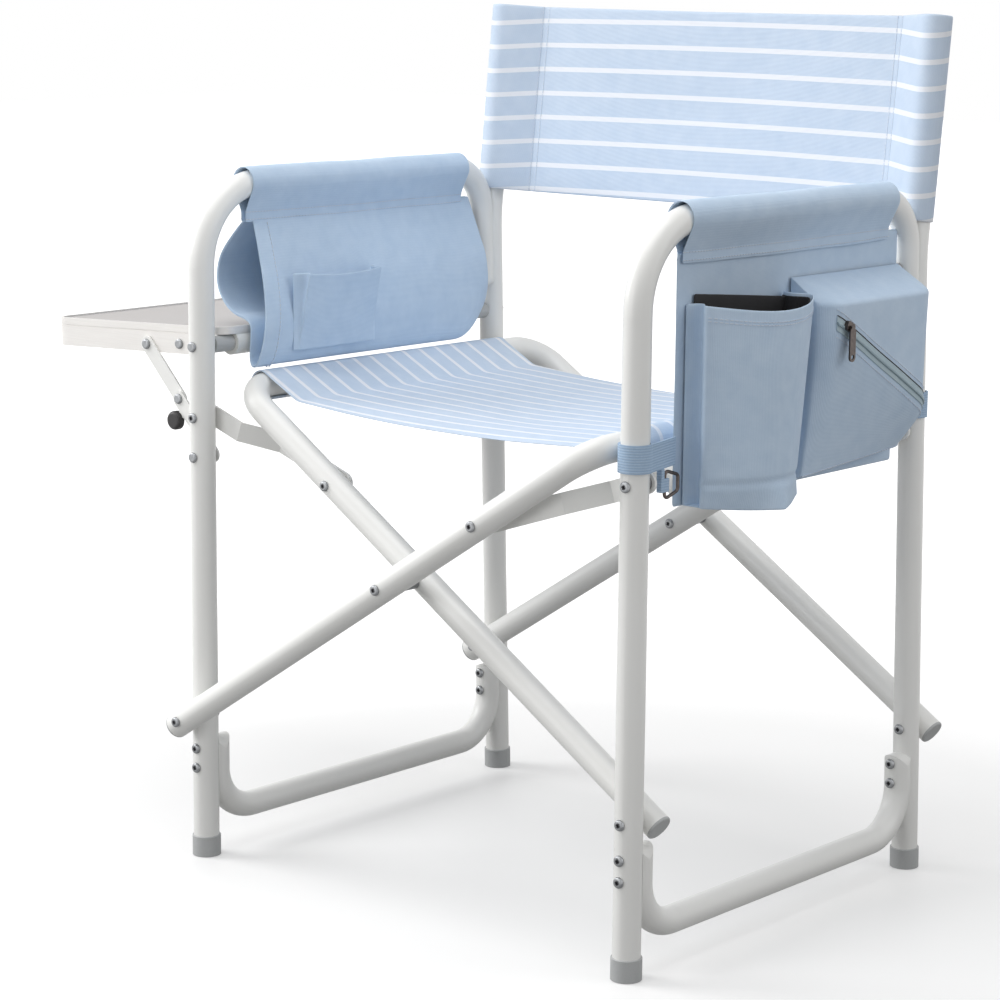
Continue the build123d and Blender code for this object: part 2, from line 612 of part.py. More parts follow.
def stay_knob():
    """Black thumb piece moulded round the lower bar's tab."""
    place = knob_centre()
    _, knee, lower = stay_points()
    along = (lower - knee).normalized()
    aside = Vector(along.Z, 0, -along.X)
    place = place + aside * (KNOB_RADIUS * 0.5)
    middle = STAY_LOWER_Y + STAY_THICKNESS / 2
    knob = rod_y(place.X, place.Z, middle - KNOB_THICKNESS, middle + STAY_THICKNESS / 2, KNOB_RADIUS)
    knob = fillet(knob.edges().sort_by(Axis.Y)[0], KNOB_THICKNESS * 0.5)
    return knob - stay_lower_bar()


def stay_knee_rivet():
    _, knee, _ = stay_points()
    end = STAY_LOWER_Y + STAY_THICKNESS
    head = dome(knee.X, knee.Z, STAY_LOWER_Y, -1)
    return head + rod_y(knee.X, knee.Z, STAY_LOWER_Y, end, SHANK_RADIUS)


def stay_bolt():
    _, _, lower = stay_points()
    return bolt(lower.X, lower.Z, FRONT_Y - R, STAY_LOWER_Y + STAY_THICKNESS + SIDE_GAP)


def table_rivet_places():
    upper, _, _ = stay_points()
    second = TILTED * Pos(LEFT_X - STAY_TABLE_REACH * 0.53, 0, HINGE_HEIGHT - STAY_TABLE_DROP / 2)
    return upper, second.position


def table_rivets():
    """Stay pivot rivet and the hinge block's rivet in the table's front rim."""
    upper, second = table_rivet_places()
    inside = TABLE_FRONT + EDGE_WIDTH
    pivot = stud(upper.X, upper.Z, STAY_UPPER_Y - STAY_SIDE_GAP, inside)
    return Compound(children=[pivot, stud(second.X, second.Z, TABLE_FRONT, inside)])


def drilled_table_edge():
    upper, second = table_rivet_places()
    edge = table_edge()
    for place in (upper, second):
        edge -= rod_y(place.X, place.Z, TABLE_FRONT - R, TABLE_FRONT + R, SHANK_RADIUS + RUNNING)
    return edge


def slanted_ends(body, left, right, towards):
    """Trim a sling's end along a line from its left rail to its right rail."""
    slope = (right - left) / (2 * RAIL_X)
    beyond = slope * (LEG_SPAN - RAIL_X)
    corners = [(-LEG_SPAN, left - beyond), (LEG_SPAN, right + beyond)]
    far = towards * FOOT_SPACING * 2
    waste = make_face(Polyline(*corners, (LEG_SPAN, far), (-LEG_SPAN, far), close=True))
    return body - extrude(waste, BACK_HEIGHT)


def seat_sling():
    """Cloth seat: a sleeve round each rail and a shallow web between them."""
    inner, outer = R + SOFT_GAP, R + SOFT_GAP + CLOTH
    kink_x, kink_z = RAIL_X - SEAT_KINK_IN, RAIL_HEIGHT - SEAT_KINK_DROP
    top = outer * math.sqrt(0.5)
    line = [(-RAIL_X + top, RAIL_HEIGHT + top), (-kink_x, kink_z), (0, kink_z - SEAT_SAG),
            (kink_x, kink_z), (RAIL_X - top, RAIL_HEIGHT + top)]
    under = [(x, z - CLOTH) for x, z in reversed(line)]
    section = make_face(Polyline(*line, *under, close=True))
    for x in (-RAIL_X, RAIL_X):
        section += Pos(x, RAIL_HEIGHT) * Circle(outer)
    for x in (-RAIL_X, RAIL_X):
        section -= Pos(x, RAIL_HEIGHT) * Circle(inner)
    body = extrude(Plane.XZ * section, FOOT_SPACING, both=True)
    body = slanted_ends(body, SEAT_FRONT_LEFT, SEAT_FRONT_RIGHT, -1)
    return slanted_ends(body, SEAT_REAR_LEFT, SEAT_REAR_RIGHT, 1)


def back_sling():
    """Cloth back: a sleeve over each upright and a web that sags a little to the rear."""
    rake = math.radians(BACK_RAKE)
    up = (0, math.sin(rake), math.cos(rake))
    low_y = rear_y(KNEE_HEIGHT) + (BACK_SLING_BOTTOM - KNEE_HEIGHT) * math.tan(rake)
    seat = Plane(origin=(0, low_y, BACK_SLING_BOTTOM), x_dir=(1, 0, 0), z_dir=up)
    inner, outer = R + SOFT_GAP, R + SOFT_GAP + CLOTH
    middle = BACK_WEB_SET + BACK_WEB_SAG
    front = ThreePointArc((-HALF_SPAN, BACK_WEB_SET), (0, middle), (HALF_SPAN, BACK_WEB_SET))
    rear = ThreePointArc(
        (-HALF_SPAN, BACK_WEB_SET + CLOTH), (0, middle + CLOTH), (HALF_SPAN, BACK_WEB_SET + CLOTH))
    ends = [Line(front @ i, rear @ i) for i in (0, 1)]
    section = make_face([front, rear, *ends])
    for x in (LEFT_X, RIGHT_X):
        section += Pos(x, 0) * Circle(outer)
    for x in (LEFT_X, RIGHT_X):
        section -= Pos(x, 0) * Circle(inner)
    height = (BACK_SLING_TOP - BACK_SLING_BOTTOM) / math.cos(rake)
    return extrude(seat * section, height)


def cover_section(x, radius, low):
    """Hanging loop of an arm cover: round over the tube, drawn together below it."""
    half_hem = COVER_HEM / 2 + (radius - R - SOFT_GAP)
    crown = ThreePointArc((-radius, 0), (0, radius), (radius, 0))
    sides = Polyline(
        (radius, 0), (radius, -COVER_SIDE), (half_hem, low), (-half_hem, low), (-radius, -COVER_SIDE), (-radius, 0))
    return Pos(x, ARM_HEIGHT) * make_face([crown, *sides.edges()])


def arm_cover(x):
    """Cloth sleeve on the arm, hanging to a flat hem."""
    outer = cover_section(x, R + SOFT_GAP + CLOTH, -COVER_DROP)
    inner = cover_section(x, R + SOFT_GAP, -COVER_DROP + CLOTH)
    ring = outer - inner
    return Pos(0, COVER_FRONT, 0) * extrude(Plane.XZ * ring, -(COVER_REAR - COVER_FRONT))


def pouch_section():
    """Teardrop of the pouch as seen from the front, drawn in above the table's edge."""
    clear = EAR_RADIUS + POUCH_CLEARANCE
    over_table = TABLE_TOP + POUCH_CLEARANCE
    points = [
        (LEFT_X + COVER_HEM, POUCH_TOP),
        (LEFT_X + POUCH_INNER, over_table + POUCH_SHOULDER),
        (LEFT_X + POUCH_INNER, POUCH_BOTTOM + COVER_DROP / 2),
        (LEFT_X + POUCH_INNER - COVER_HEM, POUCH_BOTTOM),
        (LEFT_X + clear + COVER_HEM / 2, POUCH_BOTTOM),
        (LEFT_X + clear, over_table),
        (LEFT_X - POUCH_OUTER, over_table + (POUCH_TOP - over_table) * POUCH_BELLY_LOW),
        (LEFT_X - POUCH_OUTER, over_table + (POUCH_TOP - over_table) * POUCH_BELLY_HIGH),
        (LEFT_X - COVER_HEM, POUCH_TOP),
    ]
    return make_face(Polyline(*points, close=True))


def pouch():
    """Loop of cloth under the arm, open at its front and rear ends."""
    outer = pouch_section()
    inner = offset(outer, -POUCH_WALL, kind=Kind.INTERSECTION)
    return Pos(0, POUCH_FRONT, 0) * extrude(Plane.XZ * (outer - inner), -(POUCH_REAR - POUCH_FRONT))


def pouch_pocket():
    """Pleated pocket on the pouch's inner face, open at the top."""
    back = LEFT_X + POUCH_INNER + SOFT_GAP
    wall = CLOTH
    outer = make_face(Polyline(
        (back, POCKET_BOTTOM), (back + POCKET_DEPTH * 0.5, POCKET_BOTTOM),
        (back + POCKET_DEPTH, POCKET_TOP), (back, POCKET_TOP), close=True))
    inner = make_face(Polyline(
        (back + wall, POCKET_BOTTOM + wall), (back + POCKET_DEPTH * 0.5 - wall, POCKET_BOTTOM + wall),
        (back + POCKET_DEPTH - wall, POCKET_TOP + wall), (back + wall, POCKET_TOP + wall), close=True))
    length = POCKET_REAR - POCKET_FRONT
    body = Pos(0, POCKET_FRONT, 0) * extrude(Plane.XZ * outer, -length)
    return body - Pos(0, POCKET_FRONT + wall, 0) * extrude(Plane.XZ * inner, -(length - 2 * wall))


# Organiser on the right side
PANEL_FACE = RIGHT_X + PANEL_CLOTH / 2
ZIP_FACE = PANEL_FACE + ZIP_DEPTH


def organiser_panel():
    size = (PANEL_CLOTH, PANEL_REAR - PANEL_FRONT, PANEL_TOP - PANEL_BOTTOM)
    return Pos(RIGHT_X, (PANEL_REAR + PANEL_FRONT) / 2, (PANEL_TOP + PANEL_BOTTOM) / 2) * Box(*size)


def bottle_section(inset):
    face_x = PANEL_FACE
    middle = (BOTTLE_FRONT + BOTTLE_REAR) / 2
    arc = ThreePointArc(
        (face_x, BOTTLE_FRONT + inset), (face_x + BOTTLE_DEPTH - inset, middle), (face_x, BOTTLE_REAR - inset))
    return make_face([arc, Line(arc @ 1, arc @ 0)])


def bottle_pocket():
    """Round pocket with an open mouth, backed by the panel."""
    height = BOTTLE_TOP - PANEL_BOTTOM
    body = extrude(Pos(0, 0, PANEL_BOTTOM) * bottle_section(0), height)
    return body - extrude(Pos(0, 0, PANEL_BOTTOM + POUCH_WALL) * bottle_section(POUCH_WALL), height)


def zip_pocket():
    """Gusseted pocket, deeper at its top, with a slanted zip across its face."""
    profile = make_face(Polyline(
        (PANEL_FACE, ZIP_BOTTOM), (ZIP_FACE - ZIP_TAPER, ZIP_BOTTOM), (ZIP_FACE, ZIP_BOTTOM + ZIP_TAPER),
        (ZIP_FACE, ZIP_TOP - ZIP_TAPER), (ZIP_FACE - ZIP_TAPER, ZIP_TOP), (PANEL_FACE, ZIP_TOP), close=True))
    return Pos(0, ZIP_FRONT, 0) * extrude(Plane.XZ * profile, -(ZIP_REAR - ZIP_FRONT))


def zipper_frame(standing):
    """Frame on the zip's line: x along the zip, z out of the pocket."""
    start = Vector(ZIP_FACE + standing, ZIPPER_START_Y, ZIP_TOP - ZIPPER_START_DROP)
    end = Vector(ZIP_FACE + standing, ZIPPER_END_Y, ZIP_TOP - ZIPPER_END_DROP)
    along = (end - start).normalized()
    return Plane(origin=start, x_dir=along, z_dir=(1, 0, 0)), (end - start).length


def zip_tape():
    frame, length = zipper_frame(0)
    band = Box(length, ZIPPER_WIDTH, ZIPPER_THICKNESS)
    return frame.location * Pos(length / 2, 0, ZIPPER_THICKNESS / 2) * band


def zip_slider():
    frame, _ = zipper_frame(ZIPPER_THICKNESS + SIDE_GAP)
    body = Box(SLIDER_LENGTH, SLIDER_WIDTH, SLIDER_THICKNESS)
    body = fillet(body.edges().filter_by(Axis.Z), SLIDER_WIDTH * 0.25)
    return frame.location * Pos(SLIDER_LENGTH, 0, SLIDER_THICKNESS / 2) * body


def pull_pivot():
    frame, _ = zipper_frame(ZIPPER_THICKNESS + SIDE_GAP + SLIDER_THICKNESS + SIDE_GAP + PULL_BARREL)
    return frame.from_local_coords((SLIDER_LENGTH, 0, 0))


def zip_pull():
    """Flat metal tag below a small barrel, which turns on the slider's bridge."""
    pivot = pull_pivot()
    hang = Pos(pivot.X, pivot.Y, pivot.Z)
    barrel = hang * Rot(90, 0, 0) * Cylinder(PULL_BARREL, PULL_WIDTH * 0.6)
    tag = SlotCenterToCenter(PULL_LENGTH - PULL_WIDTH, PULL_WIDTH, rotation=90)
    face = Plane(origin=(pivot.X, pivot.Y, pivot.Z), x_dir=(0, 1, 0), z_dir=(1, 0, 0))
    body = extrude(face * Pos(0, -PULL_LENGTH / 2) * tag, PULL_THICKNESS / 2, both=True)
    eye = face * Pos(0, PULL_WIDTH / 2 - PULL_LENGTH) * Circle(PULL_WIDTH * 0.25)
    return body + barrel - extrude(eye, PULL_THICKNESS, both=True)


def leg_strap(leg_y, height, panel_edge):
    """Webbing loop round a leg, led from its outer side to the organiser's edge."""
    inner, outer = R + 2 * SOFT_GAP, R + 2 * SOFT_GAP + STRAP_CLOTH
    towards = 1 if panel_edge > leg_y else -1
    loop = Pos(RIGHT_X, leg_y) * (Circle(outer) - Circle(inner))
    end = panel_edge - towards * SEATED
    tail = make_face(Polyline(
        (RIGHT_X + inner, leg_y), (RIGHT_X + outer, leg_y),
        (PANEL_FACE + STRAP_CLOTH, end), (PANEL_FACE, end), close=True))
    loop += tail
    return extrude(Pos(0, 0, height - STRAP_WIDTH / 2) * loop, STRAP_WIDTH)


def organiser_straps():
    front = leg_strap(FRONT_Y, FRONT_STRAP_HEIGHT, PANEL_FRONT)
    rear = leg_strap(rear_y(REAR_STRAP_HEIGHT), REAR_STRAP_HEIGHT, PANEL_REAR)
    return Compound(children=[front, rear])


RING_Y = (FRONT_Y + R + PANEL_FRONT) / 2
TAIL_SHARE = (RING_Y - FRONT_Y) / (PANEL_FRONT - FRONT_Y)
TAIL_START = RIGHT_X + R + 2 * SOFT_GAP + STRAP_CLOTH / 2
RING_X = TAIL_START + (PANEL_FACE + STRAP_CLOTH / 2 - TAIL_START) * TAIL_SHARE
TAB_TOP = FRONT_STRAP_HEIGHT - STRAP_WIDTH / 2 - SEATED
RING_MIDDLE = TAB_TOP - SIDE_GAP - RING_WIRE - RING_BAR / 2


def ring_tab():
    """Folded webbing sewn under the front strap, looped round the D-ring's bar."""
    fold_front = RING_Y - TAB_LENGTH + RING_WIRE * 2
    fold_rear = RING_Y + RING_WIRE * 2
    middle = (fold_front + fold_rear) / 2
    low = RING_MIDDLE - TAB_HEIGHT / 2
    body = Pos(RING_X, middle, RING_MIDDLE) * Box(TAB_THICKNESS, TAB_LENGTH, TAB_HEIGHT)
    root_rear = RING_Y - RING_WIRE * 2 - SIDE_GAP
    root = Box(TAB_THICKNESS, root_rear - fold_front, TAB_TOP - low)
    body += Pos(RING_X, (fold_front + root_rear) / 2, (TAB_TOP + low) / 2) * root
    return body - Pos(RING_X, RING_Y, RING_MIDDLE) * Cylinder(RING_WIRE + RUNNING, TAB_HEIGHT)


def d_ring():
    """Bent wire D with its straight bar upright in the tab."""
    half = RING_BAR / 2
    corner = RING_WIRE * 2.4
    bow = RING_REACH
    path = FilletPolyline(
        (RING_X, RING_Y, RING_MIDDLE - half), (RING_X, RING_Y, RING_MIDDLE + half),
        (RING_X, RING_Y + bow, RING_MIDDLE + half * 0.55), (RING_X, RING_Y + bow, RING_MIDDLE - half * 0.55),
        radius=corner, close=True)
    return round_bar(path, RING_WIRE)


def build():
    nodes = {}
    for name, x in (("left", LEFT_X), ("right", RIGHT_X)):
        front_holes, rear_holes = frame_holes(x)
        nodes[f"{name}_arm_tube"] = drilled(arm_tube(x), front_holes + rear_holes[-1:] * (x > 0))
        nodes[f"{name}_back_post"] = drilled(back_post(x), rear_holes)
        brace_holes = [place for place in front_holes + rear_holes if place[2] in BRACE_SCREW_HEIGHTS]
        nodes[f"{name}_floor_brace"] = drilled(floor_brace(x), brace_holes)
        nodes[f"{name}_foot_caps"] = Compound(children=[foot_cap(front_leg(x)), foot_cap(rear_leg(x))])
        nodes[f"{name}_post_plug"] = post_plug(x)
        nodes[f"{name}_frame_screws"] = frame_screws(x)
        nodes[f"{name}_arm_cover"] = arm_cover(x)
    nodes["left_arm_tube"] = drilled(nodes["left_arm_tube"], [(LEFT_X, rear_y(ARM_SCREW_HEIGHT), ARM_SCREW_HEIGHT)])
    nodes["left_pivot_bolts"] = left_pivot_bolts()
    nodes["right_pivot_bolts"] = right_pivot_bolts()
    nodes["left_link_bolts"] = left_link_bolts()
    nodes["right_link_bolts"] = right_link_bolts()

    nodes["inner_cross_tube"] = cross_tube(1, INNER_FRONT_Y, INNER_REAR_Y)
    nodes["inner_cross_plugs"] = cross_plugs(1, INNER_FRONT_Y, INNER_REAR_Y)
    nodes["inner_link_studs"] = inner_link_studs()
    nodes["outer_cross_tube"] = cross_tube(-1, OUTER_FRONT_Y, OUTER_REAR_Y)
    nodes["outer_cross_plugs"] = cross_plugs(-1, OUTER_FRONT_Y, OUTER_REAR_Y)
    nodes["outer_link_studs"] = outer_link_studs()
    nodes["cross_bolts"] = cross_bolts()

    nodes["left_front_link"] = flat_link(-1, *LEFT_FRONT_LINK)
    nodes["left_rear_link"] = flat_link(-1, *LEFT_REAR_LINK)
    nodes["right_front_link"] = flat_link(1, *RIGHT_FRONT_LINK)
    nodes["right_rear_link"] = flat_link(1, *RIGHT_REAR_LINK)
    nodes["left_front_link_nut"] = link_nut(-1, LEFT_FRONT_LINK[1] + LINK_THICKNESS, 1)
    nodes["left_rear_link_nut"] = link_nut(-1, LEFT_REAR_LINK[1], -1)
    nodes["right_front_link_nut"] = link_nut(1, RIGHT_FRONT_LINK[1] + LINK_THICKNESS, 1)
    nodes["right_rear_link_nut"] = link_nut(1, RIGHT_REAR_LINK[1], -1)

    nodes["seat_sling"] = seat_sling()
    nodes["back_sling"] = back_sling()
    nodes["left_pouch"] = pouch()
    nodes["left_pouch_pocket"] = pouch_pocket()

    nodes["table_hinge_rod"] = hinge_rod()
    nodes["table_hinge_screws"] = hinge_screws()
    nodes["table_stay_bolt"] = stay_bolt()
    nodes["table_edge"] = drilled_table_edge()
    nodes["table_panel"] = table_panel()
    nodes["table_hinge_ears"] = table_ears()
    nodes["table_rivets"] = table_rivets()
    nodes["stay_upper_bar"] = stay_upper_bar()
    nodes["stay_lower_bar"] = stay_lower_bar()
    nodes["stay_knee_rivet"] = stay_knee_rivet()
    nodes["stay_knob"] = stay_knob()

    nodes["organiser_panel"] = organiser_panel()
    nodes["bottle_pocket"] = bottle_pocket()
    nodes["zip_pocket"] = zip_pocket()
    nodes["zip_tape"] = zip_tape()
    nodes["zip_slider"] = zip_slider()
    nodes["zip_pull"] = zip_pull()
    nodes["organiser_straps"] = organiser_straps()
    nodes["ring_tab"] = ring_tab()
    nodes["d_ring"] = d_ring()
    return nodes


os.makedirs("parts", exist_ok=True)
for node_name, shape in build().items():
    export_step(shape, f"parts/{node_name}.step")
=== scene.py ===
import bmesh
import bpy
import math
from mathutils import Matrix, Vector, noise


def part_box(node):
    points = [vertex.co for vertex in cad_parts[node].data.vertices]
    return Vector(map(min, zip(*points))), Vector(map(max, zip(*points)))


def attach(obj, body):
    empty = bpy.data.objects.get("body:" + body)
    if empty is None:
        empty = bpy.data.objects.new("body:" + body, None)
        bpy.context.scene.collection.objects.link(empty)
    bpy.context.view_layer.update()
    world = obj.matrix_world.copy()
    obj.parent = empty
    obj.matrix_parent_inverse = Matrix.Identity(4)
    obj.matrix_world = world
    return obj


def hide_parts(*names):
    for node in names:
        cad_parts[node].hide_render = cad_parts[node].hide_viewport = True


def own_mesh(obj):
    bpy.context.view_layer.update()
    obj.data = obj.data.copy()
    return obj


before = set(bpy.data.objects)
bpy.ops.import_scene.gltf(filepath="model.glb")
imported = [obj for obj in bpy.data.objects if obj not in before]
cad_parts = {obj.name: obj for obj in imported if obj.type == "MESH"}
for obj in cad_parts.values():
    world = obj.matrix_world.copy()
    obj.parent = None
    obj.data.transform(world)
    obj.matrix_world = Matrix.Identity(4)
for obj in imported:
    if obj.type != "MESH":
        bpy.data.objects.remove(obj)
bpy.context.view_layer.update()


# Side frames, crossed frames and flat links: steel tube and strip, bent and
# crushed to shape, then powder coated white in one batch. The coat is smooth
# with a faint orange peel, and a little duller than enamel.
def linear(code):
    """An sRGB hex colour as the shader wants it."""
    values = [int(code[i:i + 2], 16) / 255 for i in (1, 3, 5)]
    return [v / 12.92 if v <= 0.04045 else ((v + 0.055) / 1.055) ** 2.4 for v in values] + [1.0]


def feed(made, inputs):
    """Sets a node's inputs, or links them where another node's output is given."""
    for socket, value in inputs.items():
        if isinstance(value, bpy.types.NodeSocket):
            made.id_data.links.new(value, made.inputs[socket])
        else:
            made.inputs[socket].default_value = value


def node(tree, kind, inputs=None, **settings):
    """Adds a node with its settings, and sets or links its inputs."""
    made = tree.nodes.new(kind)
    for name, value in settings.items():
        setattr(made, name, value)
    feed(made, inputs or {})
    return made


def new_finish(name):
    """A new material: its node tree, its shader, and where on the piece it is read."""
    made = bpy.data.materials.new(name)
    made.use_nodes = True
    tree = made.node_tree
    place = node(tree, "ShaderNodeTexCoord").outputs["Object"]
    return made, tree, tree.nodes["Principled BSDF"], place


def dress(names, finish):
    """Gives carried-over nodes a finish."""
    for name in names:
        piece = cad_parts[name]
        if not piece.material_slots:
            piece.data.materials.append(finish)
        for slot in piece.material_slots:
            slot.material = finish


PEEL = 0.0016
COAT_CLOUD = 1 / 9
powder_coat, tree, shader, place = new_finish("white_powder_coat")
peel = node(tree, "ShaderNodeTexNoise", {"Vector": place, "Scale": 1 / PEEL, "Detail": 2.0})
cloudy = node(tree, "ShaderNodeTexNoise", {"Vector": place, "Scale": 1 / COAT_CLOUD, "Detail": 3.0})
tint = node(tree, "ShaderNodeMix", {"Factor": cloudy.outputs["Fac"],
            "A": linear("#EDEDEA"), "B": linear("#F4F4F2")}, data_type="RGBA")
gloss = node(tree, "ShaderNodeMapRange", {"Value": cloudy.outputs["Fac"], "To Min": 0.3, "To Max": 0.42})
bump = node(tree, "ShaderNodeBump", {"Height": peel.outputs["Fac"], "Strength": 0.06, "Distance": 0.0004})
feed(shader, {"Base Color": tint.outputs["Result"], "Roughness": gloss.outputs["Result"],
              "Normal": bump.outputs["Normal"], "Coat Weight": 0.15, "Coat Roughness": 0.25})

sides = ("left", "right")
tubes = [f"{side}_{name}" for side in sides for name in ("arm_tube", "back_post", "floor_brace")]
links = [f"{side}_{end}_link" for side in sides for end in ("front", "rear")]
dress(tubes + links + ["inner_cross_tube", "outer_cross_tube"], powder_coat)
dress(["stay_upper_bar", "stay_lower_bar"], powder_coat)


# Foot caps, tube plugs and the table's hinge rod: grey polypropylene, moulded
# with a fine spark texture that scatters the light. The caps and plugs are
# pushed on or into the tube ends.
SPARK = 0.0009
moulded_grey, tree, shader, place = new_finish("moulded_grey_polypropylene")
grain = node(tree, "ShaderNodeTexNoise", {"Vector": place, "Scale": 1 / SPARK, "Detail": 3.0})
tint = node(tree, "ShaderNodeMix", {"Factor": grain.outputs["Fac"],
            "A": linear("#AEB0B1"), "B": linear("#C1C3C3")}, data_type="RGBA")
bump = node(tree, "ShaderNodeBump", {"Height": grain.outputs["Fac"], "Strength": 0.2, "Distance": 0.0003})
feed(shader, {"Base Color": tint.outputs["Result"], "Normal": bump.outputs["Normal"], "Roughness": 0.55})
dress(["left_foot_caps", "right_foot_caps", "left_post_plug", "right_post_plug"], moulded_grey)
dress(["inner_cross_plugs", "outer_cross_plugs", "table_hinge_rod"], moulded_grey)


# Bolts, rivets, screws and nuts: turned steel with bright zinc plating, whose
# thin passivation gives a cloudy, half-matt grey.
PLATING_CLOUD = 1 / 420
zinc, tree, shader, place = new_finish("bright_zinc_plated_steel")
cloudy = node(tree, "ShaderNodeTexNoise", {"Vector": place, "Scale": 1 / PLATING_CLOUD, "Detail": 3.0})
tint = node(tree, "ShaderNodeMix", {"Factor": cloudy.outputs["Fac"],
            "A": linear("#7E8083"), "B": linear("#A9ABAD")}, data_type="RGBA")
gloss = node(tree, "ShaderNodeMapRange", {"Value": cloudy.outputs["Fac"], "To Min": 0.28, "To Max": 0.48})
feed(shader, {"Base Color": tint.outputs["Result"], "Roughness": gloss.outputs["Result"], "Metallic": 1.0})
fasteners = [f"{side}_{name}" for side in sides for name in ("frame_screws", "pivot_bolts", "link_bolts")]
nuts = [f"{link}_nut" for link in links]
dress(fasteners + nuts + ["inner_link_studs", "outer_link_studs", "cross_bolts"], zinc)
dress(["table_hinge_screws", "table_stay_bolt", "table_rivets", "stay_knee_rivet"], zinc)


# Cross recesses in the bolt heads, which are punched into the steel: drawn as
# thin crosses just proud of each head, near-black with painted shade for the
# shadow inside the recess. Each one is turned a little further than the last.
HEAD_DOME = 0.0012
RECESS_LENGTH = 0.0044
RECESS_WIDTH = 0.0011
RECESS_PROUD = 0.00025
HEAD_TURN = 37


def head_places(name):
    """Frontmost middle of each connected patch of a node, in the same order each run.

    A bolt's mesh is split along its sharp edges, so one bolt has several patches."""
    bm = bmesh.new()
    bm.from_mesh(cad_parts[name].data)
    waiting, places = set(bm.verts), []
    while waiting:
        island, edge = set(), [waiting.pop()]
        while edge:
            vert = edge.pop()
            island.add(vert)
            found = {e.other_vert(vert) for e in vert.link_edges} & waiting
            waiting -= found
            edge += found
        front = min(v.co.y for v in island)
        head = [v.co for v in island if v.co.y < front + HEAD_DOME]
        middle = [(min(c[i] for c in head) + max(c[i] for c in head)) / 2 for i in (0, 2)]
        places.append(Vector((middle[0], front, middle[1])))
    bm.free()
    return sorted(places, key=tuple)


def made_piece(name, bm, finish):
    """A finished mesh as a piece of the scene, with its finish."""
    mesh = bpy.data.meshes.new(name)
    bm.to_mesh(mesh)
    bm.free()
    mesh.materials.append(finish)
    piece = bpy.data.objects.new(name, mesh)
    bpy.context.collection.objects.link(piece)
    return piece


# Painted shade: the near-black colour of the crosses stands in for the shadow inside each recess.
recess_painted_shade, tree, shader, place = new_finish("painted_shade_in_recesses")
cloudy = node(tree, "ShaderNodeTexNoise", {"Vector": place, "Scale": 1 / PLATING_CLOUD, "Detail": 3.0})
tint = node(tree, "ShaderNodeMix", {"Factor": cloudy.outputs["Fac"],
            "A": linear("#1E1E22"), "B": linear("#2E2E33")}, data_type="RGBA")
feed(shader, {"Base Color": tint.outputs["Result"], "Roughness": 0.6})
cross_bodies = {"inner_link_studs": "inner_cross", "outer_link_studs": "outer_cross",
                "cross_bolts": "outer_cross"}
for name in fasteners + list(cross_bodies):
    bm = bmesh.new()
    for i, where in enumerate(head_places(name)):
        for quarter in (0, 90):
            turn = Matrix.Rotation(math.radians(HEAD_TURN * i + quarter), 4, "Y")
            shape = Matrix.Diagonal((RECESS_LENGTH, RECESS_PROUD * 2, RECESS_WIDTH, 1))
            bmesh.ops.create_cube(bm, size=1.0, matrix=Matrix.Translation(where) @ turn @ shape)
    crosses = made_piece(f"{name}_recesses", bm, recess_painted_shade)
    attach(crosses, cross_bodies.get(name, f"{name.split('_')[0]}_frame"))


# Side table: a drawn aluminium rim, clear anodised, round a faced fibreboard
# panel, with white nylon hinge blocks under its inner edge. The rim
# shows faint lines along its draw, and the facing a fine pebble.
DRAW_LINE = 0.0011
DRAW_STRETCH = 0.03
anodised, tree, shader, place = new_finish("satin_anodised_aluminium")
stretched = node(tree, "ShaderNodeMapping", {"Vector": place, "Scale": (DRAW_STRETCH, DRAW_STRETCH, 1.0)})
drawn = node(tree, "ShaderNodeTexNoise", {"Vector": stretched.outputs["Vector"], "Scale": 1 / DRAW_LINE,
             "Detail": 2.0})
tint = node(tree, "ShaderNodeMix", {"Factor": drawn.outputs["Fac"],
            "A": linear("#DEDBD8"), "B": linear("#EAE8E5")}, data_type="RGBA")
gloss = node(tree, "ShaderNodeMapRange", {"Value": drawn.outputs["Fac"], "To Min": 0.38, "To Max": 0.5})
feed(shader, {"Base Color": tint.outputs["Result"], "Roughness": gloss.outputs["Result"], "Metallic": 0.25})
dress(["table_edge"], anodised)

PEBBLE = 0.0022
laminate, tree, shader, place = new_finish("grey_melamine_laminate")
pebble = node(tree, "ShaderNodeTexNoise", {"Vector": place, "Scale": 1 / PEBBLE, "Detail": 4.0})
tint = node(tree, "ShaderNodeMix", {"Factor": pebble.outputs["Fac"],
            "A": linear("#A9A5A3"), "B": linear("#B7B3B1")}, data_type="RGBA")
bump = node(tree, "ShaderNodeBump", {"Height": pebble.outputs["Fac"], "Strength": 0.12, "Distance": 0.0004})
feed(shader, {"Base Color": tint.outputs["Result"], "Normal": bump.outputs["Normal"], "Roughness": 0.5})
dress(["table_panel"], laminate)

nylon, tree, shader, place = new_finish("moulded_white_nylon")
grain = node(tree, "ShaderNodeTexNoise", {"Vector": place, "Scale": 1 / SPARK, "Detail": 2.0})
tint = node(tree, "ShaderNodeMix", {"Factor": grain.outputs["Fac"],
            "A": linear("#E4E4E0"), "B": linear("#F1F1EE")}, data_type="RGBA")
feed(shader, {"Base Color": tint.outputs["Result"], "Roughness": 0.42})
dress(["table_hinge_ears"], nylon)


# Thumb knob on the table's stay: black ABS, moulded matt so that it can be
# gripped. It is moulded round a tab of the stay's lower bar.
black_abs, tree, shader, place = new_finish("moulded_black_abs")
grain = node(tree, "ShaderNodeTexNoise", {"Vector": place, "Scale": 1 / SPARK, "Detail": 3.0})
tint = node(tree, "ShaderNodeMix", {"Factor": grain.outputs["Fac"],
            "A": linear("#161415"), "B": linear("#2B2829")}, data_type="RGBA")
bump = node(tree, "ShaderNodeBump", {"Height": grain.outputs["Fac"], "Strength": 0.3, "Distance": 0.0004})
feed(shader, {"Base Color": tint.outputs["Result"], "Normal": bump.outputs["Normal"], "Roughness": 0.45})
dress(["stay_knob"], black_abs)
